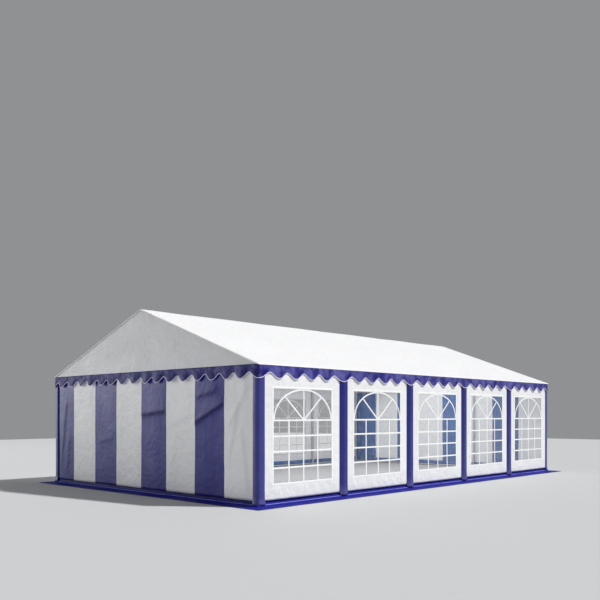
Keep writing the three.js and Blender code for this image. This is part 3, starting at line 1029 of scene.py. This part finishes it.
# How far the wall sinks in beside the post
def channelDepth(a, b, seed):
    channel = gableWallShape["channel"]
    wavy = channel["to"] + channel["sway"] * along(channel["swayTrack"], b, seed)
    inner = fade(a, wavy, wavy - channel["side"])
    outer = fade(a, channel["from"], channel["from"] + channel["side"])
    return channel["depth"] * inner * outer * (1 - fade(b, *channel["end"]))


def makeGableWall(wall):
    seed = gableWallShape["seeds"][wall]
    half = tent["halfWidth"]
    bottom = tent["wallBottom"]
    side = 1 if wall == "front" else -1  # both walls have their stripes at the same Y
    # where the stripes meet, from the left side of the tent to the right one
    edges = [gableWallShape["firstEdge"]]
    while edges[-1] > gableWallShape["whiteWidth"] - half:
        width = gableWallShape["blueWidth"] if len(edges) % 2 else gableWallShape["whiteWidth"]
        edges.append(edges[-1] - width)

    def place(across, b):
        a = across * side
        free = fade(half - abs(a), *gableWallShape["heldSides"])
        free *= 1 - fade(b, *gableWallShape["heldTop"])
        loose = 1 + gableWallShape["loose"] * fade(b, gableWallShape["looseBelow"], bottom)
        drape = swell(gableWallShape["drape"], a, b, seed) * loose
        small = swell(gableWallShape["ripple"], a, b, seed)
        folds = sum(foldPush(a, b, fold) for fold in gableWallShape["folds"])
        sway = waves(gableWallShape["sway"], b, a, seed + 9) * free
        out = layer["panel"] + free * (drape + small + folds) - channelDepth(a, b, seed)
        return (side * (a + sway), b, out)

    def pick(across, b):
        return sum(edge > across * side for edge in edges) % 2

    # painted shade in the sunk channel beside the post and under the folds
    def shadeAmount(across, b):
        sunk = channelDepth(across * side, b, seed) / gableWallShape["channel"]["depth"]
        return min(1, sunk + sum(foldShade(across * side, b, fold) for fold in gableWallShape["folds"]))

    channel = gableWallShape["channel"]
    stops = linesThrough([channel["from"], channel["to"] + 2 * channel["sway"]], channel["side"] / 2)
    across = linesThrough([-half, *stops, *reversed(edges), half], gableWallShape["grid"])
    across = sorted(side * a for a in across)
    up = linesThrough([bottom, tent["wallTop"]], gableWallShape["grid"])
    cloth = [coatedWhite, coatedBlue, coatedWhite, blueBackGlow]
    name = f"stripedWall_{wall}"
    shift = patternShift(gableWallShape["patternAt"], seed)
    sheet = makeCloth(name, across, up, place, cloth, pick=pick, shift=shift, shadeAmount=shadeAmount)
    hang(sheet, wallMatrix(wall), [f"gable_wall_{wall}"], 2)


for gable in gables:
    makeGableWall(gable)
print("striped walls made")

window = {
    "width": 1.388,
    "offCentre": -0.022,  # its middle from the panel's
    "low": 0.348,
    "high": 1.842,
    "rows": (0.584, 0.842, 1.086, 1.338),  # heights of the bars across
    "columns": (-0.347, 0, 0.347),
    "radialTop": (0.427, 1.708),
    "archFoot": 0.02,  # over the top bar across
    "archInset": 0.3,  # its top's line under the opening's edge, as a share of the bar's width
    "archSteps": 40,
    "barWidth": 0.027,
    "barThickness": 0.002,
    "hemWidth": 0.032,
    "hemThickness": 0.0016,
    "edgeRound": 0.4,  # the edges' radius, as a share of the thickness
    "seam": 0.03,  # film behind the panel
    "filmThickness": 0.0008,
    "grid": 0.05,  # of the film and along the bars
    "patternAt": (3.7, 9),
}
panelShape = {
    "gap": 0.0002,  # each side of a post axis
    "grid": 0.028,
    "billow": (0.007, 1.4, 0.8),
    "billowRound": 1.2,
    "ripple": (0.0016, 9, 7),
    "tension": (0.0035, 6.5, 1.1),  # folds that slant up to the middle
    "heldSides": (0.1, 0.26),  # from the post axes, where the cloth begins to come loose and where it is
    "heldTop": (1.95, 2.15),
    "heldShare": 0.7,
    "pulled": (0.75, 0.2),  # heights between which the slanting folds grow
    "patternAt": (3.3, 5),
    "seeds": {"right": 0.35, "left": 11.35},
    "seedStep": 1.7,  # from one bay to the next
}


# How far a bay's panel and its window stand out from their plane
def panelWave(a, b, seed):
    half = tent["bayLength"] / 2
    free = fade(half - abs(a), *panelShape["heldSides"])
    free *= 1 - panelShape["heldShare"] * fade(b, *panelShape["heldTop"])
    billow = swell(panelShape["billow"], a, b, seed) * math.cos(a * panelShape["billowRound"])
    small = swell(panelShape["ripple"], a, b, seed)
    slanting = swell(panelShape["tension"], a + b, a - b, seed + 3) * fade(b, *panelShape["pulled"])
    return free * (billow + small + slanting)


def makePanel(wall, bay, middle, seed):
    half = tent["bayLength"] / 2 - panelShape["gap"]
    low, high = window["low"], window["high"]
    left = window["offCentre"] - window["width"] / 2
    right = window["offCentre"] + window["width"] / 2

    def place(a, b):
        return (middle + a, b, layer["panel"] + panelWave(a, b, seed))

    def keep(a, b):
        return not (left < a < right and low < b < high)

    across = linesThrough([-half, left, right, half], panelShape["grid"])
    up = linesThrough([tent["wallBottom"], low, high, tent["wallTop"]], panelShape["grid"])
    name = f"windowPanel_{wall}_{bay}"
    shift = patternShift(panelShape["patternAt"], seed)
    panel = makeCloth(name, across, up, place, [coatedWhite], keep, shift=shift)
    hang(panel, wallMatrix(wall), [f"side_panel_{wall}_{bay}"])
    return panel


# Points of a strip from one place to another, close enough to follow the cloth
def straight(start, end):
    count = math.ceil(math.dist(start, end) / window["grid"])
    shares = [i / count for i in range(count + 1)]
    return [(*(p + (q - p) * share for p, q in zip(start, end)), 0) for share in shares]


# The half ellipse over the top bar across
def archPoints():
    foot = window["rows"][-1] + window["archFoot"]
    reach = (window["width"] - window["barWidth"]) / 2
    rise = window["high"] - foot - window["barWidth"] * window["archInset"]
    angles = [math.pi * i / window["archSteps"] for i in range(window["archSteps"] + 1)]
    return [(-reach * math.cos(t), foot + rise * math.sin(t), 0) for t in angles]


def makeWindowBars(wall, bay, middle, seed):
    half = window["width"] / 2
    topBar = window["rows"][-1]
    radialX, radialTop = window["radialTop"]
    bars = [straight((-half, height), (half, height)) for height in window["rows"]]
    for x in window["columns"]:
        bars.append(straight((x, window["low"]), (x, topBar if x else window["high"])))
    for side in (-1, 1):
        bars.append(straight((0, topBar), (side * radialX, radialTop)))
    bars.append(archPoints())
    rim = window["hemWidth"] / 2
    outer = half + window["hemWidth"]
    hem = []
    for height in (window["low"] - rim, window["high"] + rim):
        hem.append(straight((-outer, height), (outer, height)))
    for x in (-half - rim, half + rim):
        hem.append(straight((x, window["low"]), (x, window["high"])))
    onFilm = layer["film"] + tent["thickness"] / 2 + window["barThickness"] / 2
    onPanel = layer["panel"] + tent["thickness"] / 2 + window["hemThickness"] / 2
    made = []
    for part, lines, width, thickness, out in (
        ("bars", bars, window["barWidth"], window["barThickness"], onFilm),
        ("hem", hem, window["hemWidth"], window["hemThickness"], onPanel),
    ):
        name = f"{part}_{wall}_{bay}"
        strips = makeStrips(name, lines, width, thickness, window["edgeRound"], weldedTrim)
        for vertex in strips.data.vertices:
            vertex.co.x += window["offCentre"]
            vertex.co.z += out + panelWave(vertex.co.x, vertex.co.y, seed)
        made.append(strips)
    bars = joinPieces(made)
    bars.name = f"windowBars_{wall}_{bay}"
    bars.data.transform(wallMatrix(wall) @ Matrix.Translation((middle, 0, 0)))
    settle(bars)
    return bars


# The five windows' films of one side, in one piece as they stand for one node
def makeFilms(wall, bays):
    seam = window["seam"]
    reach = window["width"] / 2 + seam
    films = []
    for bay, middle, seed in bays:

        def place(a, b):
            return (middle + a, b, layer["film"] + panelWave(a, b, seed))

        across = linesThrough([window["offCentre"] - reach, window["offCentre"] + reach], window["grid"])
        up = linesThrough([window["low"] - seam, window["high"] + seam], window["grid"])
        shift = patternShift(window["patternAt"], seed)
        films.append(makeCloth(f"film_{wall}_{bay}", across, up, place, [clearFilm], shift=shift))
    film = joinPieces(films)
    film.name = f"windowFilms_{wall}"
    film.data.transform(wallMatrix(wall))
    thicken(film, window["filmThickness"])
    settle(film, [f"window_film_{wall}"])
    return film


def makeWindowWall(wall):
    direction = 1 if wall == "right" else -1  # bays are numbered from the front gable
    bays = []
    for bay in range(1, tent["bayCount"] + 1):
        middle = direction * ((bay - 0.5) * tent["bayLength"] - tent["halfLength"])
        bays.append((bay, middle, panelShape["seeds"][wall] + bay * panelShape["seedStep"]))
    film = makeFilms(wall, bays)
    for bay, middle, seed in bays:
        panel = makePanel(wall, bay, middle, seed)
        bars = makeWindowBars(wall, bay, middle, seed)


for side in longSides:
    makeWindowWall(side)
print("window walls made")

coverShape = {
    "width": 0.22,
    "bulge": 0.011,
    "wave": (0.0022, 9, 2.6),
    "bottom": 0.034,
    "top": 2.19,
    "foot": 0.24,  # height at which the cover starts to flare
    "cornerFoot": 0.16,
    "flare": 0.024,
    "flareCurve": 1.3,
    "flareEnd": 0.03,  # the flare would be whole so far under the bottom
    "flareSides": 0.55,  # of it at the strip's sides
    "cornerLeg": 0.13,
    "shortLeg": 0.116,  # beside the sunk end of a gable wall
    "cornerRadius": 0.03,
    "cornerBulge": 0.005,
    "cornerWave": (0.002, 7, 2.3),
    "grid": 0.035,
    "acrossGrid": 0.016,
    "cornerGrid": 0.028,
    "cornerAcrossGrid": 0.012,
    "patternAt": (2.9, 30),
    "cornerPatternAt": (2.3, 34),
    "seeds": {"right": 0.6, "left": 7.6},
    "seedStep": 1.9,  # from one post to the next
}


def footFlare(b, start):
    down = fade(b, start, coverShape["bottom"] - coverShape["flareEnd"])
    return coverShape["flare"] * down ** coverShape["flareCurve"]


# The strip over a post, hollow side to the post, spread at its foot
def makePostCover(wall, number, middle, seed):
    half = coverShape["width"] / 2

    def place(a, b):
        crown = 0.5 + 0.5 * math.cos(math.pi * a / half)
        foot = footFlare(b, coverShape["foot"])
        wave = swell(coverShape["wave"], a, b, seed) * crown
        foot *= coverShape["flareSides"] + (1 - coverShape["flareSides"]) * crown
        return (middle + a, b, layer["cover"] + coverShape["bulge"] * crown + foot + wave)

    across = linesThrough([-half, half], coverShape["acrossGrid"])
    up = linesThrough([coverShape["bottom"], coverShape["foot"], coverShape["top"]], coverShape["grid"])
    name = f"postStrip_{wall}_{number}"
    shift = patternShift(coverShape["patternAt"], seed)
    cover = makeCloth(name, across, up, place, [coverBlue], shift=shift)
    hang(cover, wallMatrix(wall), [f"post_cover_{wall}_{number}"])


# The strip round a corner post. It is drawn round an axis, then turned and moved to its corner.
def makeCornerCover(name, x, y, turn, legs, seed):
    out = layer["cover"]
    radius = coverShape["cornerRadius"]
    centre = radius - out
    arc = radius * math.pi / 4
    ends = [arc - radius + leg for leg in legs]

    def place(a, b):
        onLeg = max(0, abs(a) - arc)
        leg = ends[a > 0] - arc
        crown = math.sin(math.pi * min(1, onLeg / leg))
        wave = swell(coverShape["cornerWave"], a, b, seed) * fade(onLeg, 0, radius)
        push = coverShape["cornerBulge"] * crown + footFlare(b, coverShape["cornerFoot"]) + wave
        angle = math.radians(225) + math.copysign(min(abs(a), arc), a) / radius
        px = centre + (radius + push) * math.cos(angle)
        py = centre + (radius + push) * math.sin(angle)
        if a > arc:
            px += onLeg
        if a < -arc:
            py += onLeg
        return (px, py, b)

    across = linesThrough([-ends[0], -arc, arc, ends[1]], coverShape["cornerAcrossGrid"])
    heights = [coverShape["bottom"], coverShape["cornerFoot"], coverShape["top"]]
    up = linesThrough(heights, coverShape["cornerGrid"])
    shift = patternShift(coverShape["cornerPatternAt"], seed)
    cover = makeCloth(f"cornerStrip_{name}", across, up, place, [cornerBlue], shift=shift)
    matrix = Matrix.Translation((x, y, 0)) @ Matrix.Rotation(turn, 4, "Z")
    hang(cover, matrix, [f"corner_cover_{name}"])


for side in longSides:
    direction = 1 if side == "right" else -1
    for number in range(1, tent["bayCount"]):
        middle = direction * (number * tent["bayLength"] - tent["halfLength"])
        makePostCover(side, number, middle, coverShape["seeds"][side] + number * coverShape["seedStep"])
endX = tent["halfLength"]
endY = tent["halfWidth"]
longLeg = coverShape["cornerLeg"]
shortLeg = coverShape["shortLeg"]
makeCornerCover("front_right", -endX, -endY, 0, (longLeg, longLeg), seed=4.4)
makeCornerCover("back_right", endX, -endY, math.pi / 2, (longLeg, longLeg), seed=5.5)
makeCornerCover("back_left", endX, endY, math.pi, (shortLeg, longLeg), seed=6.6)
makeCornerCover("front_left", -endX, endY, -math.pi / 2, (longLeg, shortLeg), seed=8.8)
print("post and corner strips made")

# The blue sheet under a wall, from the wall down over the ground rail and out on the ground
flapShape = {
    # out from the post axis and height, from the upper edge to the outer one
    "section": [
        (0.0293, 0.14), (0.027, 0.118), (0.0185, 0.096), (0.0175, 0.07), (0.024, 0.05), (0.037, 0.04),
        (0.047, 0.031), (0.056, 0.021), (0.076, 0.013), (0.11, 0.0075), (0.15, 0.0045), (0.29, 0.0035),
    ],
    "grid": 0.03,
    "edgeWave": 0.01,
    "edgeTrack": (1.3, 0.7),
    "sectionStep": 0.02,
    "flatFrom": (0.1, 0.29),  # out from the post axis, where the sheet comes to lie on the ground
    "meanOut": 0.12,  # how far out the middle of its girth lies
    "lift": (0.0035, 1.9, 5),
    "slack": (0.002, 5, 14),
    "slackUp": (0.003, 0.03),  # heights between which the cloth becomes slack, and taut again
    "slackTop": (0.09, 0.13),
    "uprightAbove": 0.03,
    "shadeUp": (0.045, 0.06),
    "postReach": 0.09,  # length over which a post pushes the upright part out
    "gableShade": 1,  # of the upright part, where a gable's wall hangs before it
    "sideShade": 0.15,
    "patternAt": (2.1, 0),
    "seeds": {"right": 9.1, "back": 12.1, "left": 15.1, "front": 18.1},
}


# A smooth line through the section's points
def flapSection():
    points = flapShape["section"]
    line = []
    for i in range(len(points) - 1):
        before = points[max(0, i - 1)]
        start, end = points[i], points[i + 1]
        after = points[min(len(points) - 1, i + 2)]
        count = max(2, round(math.dist(start, end) / flapShape["sectionStep"]))
        for step in range(count):
            t = step / count
            spot = []
            for p, q, r, s in zip(before, start, end, after):
                square = 2 * p - 5 * q + 4 * r - s
                cube = 3 * q - p - 3 * r + s
                spot.append((2 * q + (r - p) * t + square * t ** 2 + cube * t ** 3) / 2)
            line.append(tuple(spot))
    line.append(points[-1])
    return line


def makeFlap(wall):
    seed = flapShape["seeds"][wall]
    half = walls[wall]["half"]
    section = flapSection()
    bay = tent["bayLength"] if wall in longSides else 2 * tent["halfWidth"] / 3

    def place(a, b):
        out, z = section[round(b)]
        flat = fade(out, *flapShape["flatFrom"])
        fromPost = (((a + half) / bay + 0.5) % 1 - 0.5) * bay
        post = math.exp(-(fromPost / flapShape["postReach"]) ** 2)
        if z > flapShape["uprightAbove"]:
            out += post * max(0, layer["skirt"] - out)
        onGround = swell(flapShape["lift"], a, out, seed) * flat
        out += flapShape["edgeWave"] * along(flapShape["edgeTrack"], a, seed) * flat
        loose = fade(z, *flapShape["slackUp"]) * (1 - fade(z, *flapShape["slackTop"]))
        z = max(tent["thickness"], z + onGround + waves(flapShape["slack"], a, z, seed) * loose)
        return (a * (1 + out / half), z, out)

    # painted shade on the upright part, under the wall
    def shadeAmount(a, b):
        shade = flapShape["gableShade"] if wall in gables else flapShape["sideShade"]
        return shade * fade(section[round(b)][1], *flapShape["shadeUp"])

    across = linesThrough([-half, half], flapShape["grid"])
    up = list(range(len(section) - 1, -1, -1))
    cloth = [groundBlue, blueBackGlow]
    shift = patternShift(flapShape["patternAt"], seed)
    flap = makeCloth(f"groundSheet_{wall}", across, up, place, cloth, shift=shift, shadeAmount=shadeAmount)
    girth = sum(math.dist(section[i], section[i + 1]) for i in range(len(section) - 1))
    stretchUvs(flap, shift[1], girth / (len(section) - 1))
    hang(flap, wallMatrix(wall), [f"skirt_{wall}", f"ground_flap_{wall}"], 1)


for wall in walls:
    makeFlap(wall)
print("ground sheets made")

tubes = {
    "post": 0.025,
    "sleeve": 0.028,
    "rail": 0.019,
    "railSleeve": 0.023,
    "sleeveLength": 0.18,
    "railSleeveReach": 0.07,
    "socketReach": 0.09,
    "footBottom": 0.0063,
    "footSleeveTop": 0.15,
    "eaveBend": 0.055,  # radius of the elbows on their axes
    "ridgeBend": 0.12,
    "bendSteps": 8,
    "rim": 0.002,
    "endReach": 0.026,  # of a purlin's sleeve past an end portal's axis
    "purlinPast": 0.027,
    "tieHeight": 2.11,
    "gablePost": 1.02,
    "midPurlin": 1.53,
    "railBolt": 0.055,  # from the portal's axis
    "socketBolt": 0.07,
    "intoRafter": 0.004,  # a gable post's top, so that its edge meets the slope
    "boltInset": 0.03,  # from a sleeve's end
    "underRoof": 0.0033,  # from the CAD roof sheet's top to a sleeve
}
boltShape = {"Head Width": 0.013, "Head Height": 0.0055, "Washer Width": 0.017, "Washer Height": 0.003}


def rafterAxis(distance):
    return tent["ridge"] - slope * abs(distance) - (tubes["underRoof"] + tubes["sleeve"]) * perSlope


# Tubes of one piece: each is a list of points and a radius
def makeTubes(name, runs):
    curve = bpy.data.curves.new(name, "CURVE")
    curve.dimensions = "3D"
    curve.bevel_depth = 1
    curve.bevel_resolution = 8
    curve.use_fill_caps = True
    for points, radius in runs:
        spline = curve.splines.new("POLY")
        spline.points.add(len(points) - 1)
        for spot, point in zip(spline.points, points):
            spot.co = (*point, 1)
            spot.radius = radius
        spline.use_smooth = True
    drawn = newObject(f"{name}_curve", curve)
    mesh = plainMesh(drawn)
    bpy.data.objects.remove(drawn)
    mesh.name = name
    mesh.materials.clear()
    mesh.materials.append(galvanisedSteel)
    return newObject(name, mesh)


# Points along a tube with one rounded corner
def bent(start, corner, end, radius):
    corner = Vector(corner)
    back = (Vector(start) - corner).normalized()
    onward = (Vector(end) - corner).normalized()
    halfAngle = back.angle(onward) / 2
    cut = radius / math.tan(halfAngle)
    centre = corner + (back + onward).normalized() * radius / math.sin(halfAngle)
    first = (corner + back * cut - centre).normalized()
    last = (corner + onward * cut - centre).normalized()
    steps = tubes["bendSteps"]
    turn = [centre + first.slerp(last, i / steps) * radius for i in range(steps + 1)]
    return [Vector(start), *turn, Vector(end)]


# A joint sleeve, its ends drawn in to a rim
def sleeve(points):
    first, second = Vector(points[0]), Vector(points[1])
    last, beforeLast = Vector(points[-1]), Vector(points[-2])
    afterFirst = first + (second - first).normalized() * tubes["rim"]
    nearLast = last + (beforeLast - last).normalized() * tubes["rim"]
    return [first, afterFirst, *points[1:-1], nearLast, last]


def makeBolts(name, spots):
    points = [place for place, facing in spots]
    mesh = bpy.data.meshes.new(name)
    mesh.from_pydata(points, [], [])
    facings = mesh.attributes.new("facing", "FLOAT_VECTOR", "POINT")
    for item, (place, facing) in zip(facings.data, spots):
        item.vector = facing
    return bakeTree(newObject(name, mesh), boltTree, dict(boltShape, Material=galvanisedSteel))


# Two posts, two rafters, the elbows between them and the sleeves that take the purlins
def makePortal(number):
    x = (number - 1) * tent["bayLength"] - tent["halfLength"]
    inward = -math.copysign(1, x)
    isEnd = number in (1, tent["bayCount"] + 1)
    ridge = (x, 0, rafterAxis(0))
    runs = []
    bolts = []
    reach = tubes["railSleeveReach"]
    inset = tubes["boltInset"]
    start = -tubes["endReach"] if isEnd else -reach
    out = tubes["sleeveLength"] / perSlope
    for side in (-1, 1):
        y = side * tent["halfWidth"]
        foot = (x, y, tubes["footBottom"])
        eave = (x, y, rafterAxis(y))
        onRafter = (x, y - side * out, eave[2] + slope * out)
        underEave = (x, y, eave[2] - tubes["sleeveLength"])
        runs.append((bent(foot, eave, ridge, tubes["eaveBend"]), tubes["post"]))
        runs.append((sleeve(bent(underEave, eave, onRafter, tubes["eaveBend"])), tubes["sleeve"]))
        runs.append((sleeve([foot, (x, y, tubes["footSleeveTop"])]), tubes["sleeve"]))
        middle = (x, side * tubes["midPurlin"], rafterAxis(tubes["midPurlin"]))
        for spot in (eave, middle):
            low = (x + inward * start, spot[1], spot[2])
            high = (x + inward * reach, spot[1], spot[2])
            runs.append((sleeve([low, high]), tubes["railSleeve"]))
            under = (x + inward * tubes["railBolt"], spot[1], spot[2] - tubes["railSleeve"])
            bolts.append((under, (0, 0, -1)))
        if isEnd:
            socket = (x, y - side * tubes["socketReach"], tubes["tieHeight"])
            runs.append((sleeve([(x, y, tubes["tieHeight"]), socket]), tubes["railSleeve"]))
            under = (x, y - side * tubes["socketBolt"], tubes["tieHeight"] - tubes["railSleeve"])
            bolts.append((under, (0, 0, -1)))
        for boltY, boltZ in (
            (y, underEave[2] + inset),
            (onRafter[1] + side * inset, onRafter[2] - slope * inset),
            (y, tubes["footSleeveTop"] - inset),
            (side * (out - inset), ridge[2] - slope * (out - inset)),
        ):
            bolts.append(((x + inward * tubes["sleeve"], boltY, boltZ), (inward, 0, 0)))
    ends = [(x, side * out, ridge[2] - slope * out) for side in (-1, 1)]
    runs.append((sleeve(bent(ends[0], ridge, ends[1], tubes["ridgeBend"])), tubes["sleeve"]))
    low, high = (x + inward * start, 0, ridge[2]), (x + inward * reach, 0, ridge[2])
    runs.append((sleeve([low, high]), tubes["railSleeve"]))
    portal = joinPieces([makeTubes(f"portal_{number}", runs), makeBolts(f"bolts_{number}", bolts)])
    settle(portal, [f"frame_{number}"])


def makeGableFrame(end):
    inward = 1 if end == "front" else -1
    x = -inward * tent["halfLength"]
    tieEnd = tent["halfWidth"] - tubes["post"]
    runs = [([(x, -tieEnd, tubes["tieHeight"]), (x, tieEnd, tubes["tieHeight"])], tubes["rail"])]
    bolts = []
    for side in (-1, 1):
        y = side * tubes["gablePost"]
        foot = (x, y, tubes["footBottom"])
        top = rafterAxis(y) - tubes["post"] * perSlope + tubes["intoRafter"]
        runs.append(([foot, (x, y, top)], tubes["post"]))
        runs.append((sleeve([foot, (x, y, tubes["footSleeveTop"])]), tubes["sleeve"]))
        low = (x + inward * tubes["sleeve"], y, tubes["footSleeveTop"] - tubes["boltInset"])
        high = (x + inward * tubes["post"], y, tubes["tieHeight"])
        bolts += [(low, (inward, 0, 0)), (high, (inward, 0, 0))]
    made = joinPieces([makeTubes(f"gableTubes_{end}", runs), makeBolts(f"gableBolts_{end}", bolts)])
    settle(made, [f"gable_frame_{end}"])


def makePurlin(name, y):
    end = tent["halfLength"] + tubes["purlinPast"]
    z = rafterAxis(y)
    purlin = makeTubes(f"{name}_tube", [([(-end, y, z), (end, y, z)], tubes["rail"])])
    settle(purlin, [name])


for number in range(1, tent["bayCount"] + 2):
    makePortal(number)
for gable in gables:
    makeGableFrame(gable)
makePurlin("ridge_purlin", 0)
for side, sign in zip(longSides, (-1, 1)):
    makePurlin(f"eave_purlin_{side}", sign * tent["halfWidth"])
    makePurlin(f"mid_purlin_{side}", sign * tubes["midPurlin"])
for wall in walls:
    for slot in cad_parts[f"ground_rail_{wall}"].material_slots:
        slot.material = galvanisedSteel
print("frame made")

studio = {
    "floor": (0.5, 0.505, 0.51, 1),
    "floorSize": 60,
    "sky": (0.95, 0.975, 1.0, 1),
    "skyStrength": 0.29,
    "keyPlace": (0, 0, 10),
    "keyFrom": (0.36, -0.5, 0.76),
    "keyStrength": 3.75,
    "keySoftness": 3,  # degrees
    # a lamp out to the left, which falls along the front gable
    "fillPlace": (-17, 24, 5.5),
    "fillAim": (-5, 1, 1.2),
    "fillSize": (18, 9),
    "fillPower": 1600,
    # the light that comes through the roof sheet
    "insidePlace": (0, 0, 2.6),
    "insideSize": (9.6, 3.6),
    "insidePower": 143,
}


# Stands a light at a place, shining away from the direction it comes from
def standLight(name, light, place, comesFrom):
    holder = newObject(name, light)
    holder.location = place
    holder.rotation_euler = Vector(comesFrom).to_track_quat("Z", "Y").to_euler()
    return holder


def makeLamp(name, comesFrom):
    lamp = bpy.data.lights.new(name, "AREA")
    lamp.shape = "RECTANGLE"
    lamp.size, lamp.size_y = studio[f"{name}Size"]
    lamp.energy = studio[f"{name}Power"]
    return standLight(name, lamp, studio[f"{name}Place"], comesFrom)


def makeStudio():
    reach = studio["floorSize"] / 2
    corners = [(-reach, -reach, 0), (reach, -reach, 0), (reach, reach, 0), (-reach, reach, 0)]
    mesh = bpy.data.meshes.new("floor")
    mesh.from_pydata(corners, [], [(0, 1, 2, 3)])
    paint, *_ = newMaterial("floorPaint", {"Base Color": studio["floor"], "Roughness": 0.8})
    mesh.materials.append(paint)
    newObject("floor", mesh)
    world = bpy.data.worlds.new("studio")
    world.use_nodes = True
    sky = world.node_tree.nodes["Background"].inputs
    sky["Color"].default_value = studio["sky"]
    sky["Strength"].default_value = studio["skyStrength"]
    bpy.context.scene.world = world
    sun = bpy.data.lights.new("key", "SUN")
    sun.energy = studio["keyStrength"]
    sun.angle = math.radians(studio["keySoftness"])
    standLight("key", sun, studio["keyPlace"], studio["keyFrom"])
    makeLamp("fill", Vector(studio["fillPlace"]) - Vector(studio["fillAim"]))
    makeLamp("inside", (0, 0, 1)).visible_camera = False
    bpy.context.scene.view_settings.view_transform = "Standard"


# level, with the lens shifted up as in the photograph
view = {
    "place": (-12.913, -11.347, 1.429),
    "turn": -0.8179,
    "lens": 44.505,
    "sensor": 36,
    "shiftY": 0.1912,
}


def makeCamera():
    camera = bpy.data.cameras.new("camera")
    camera.lens = view["lens"]
    camera.sensor_width = view["sensor"]
    camera.shift_y = view["shiftY"]
    holder = newObject("camera", camera)
    holder.location = view["place"]
    holder.rotation_euler = (math.pi / 2, 0, view["turn"])
    bpy.context.scene.camera = holder


makeStudio()
makeCamera()
print("studio made")
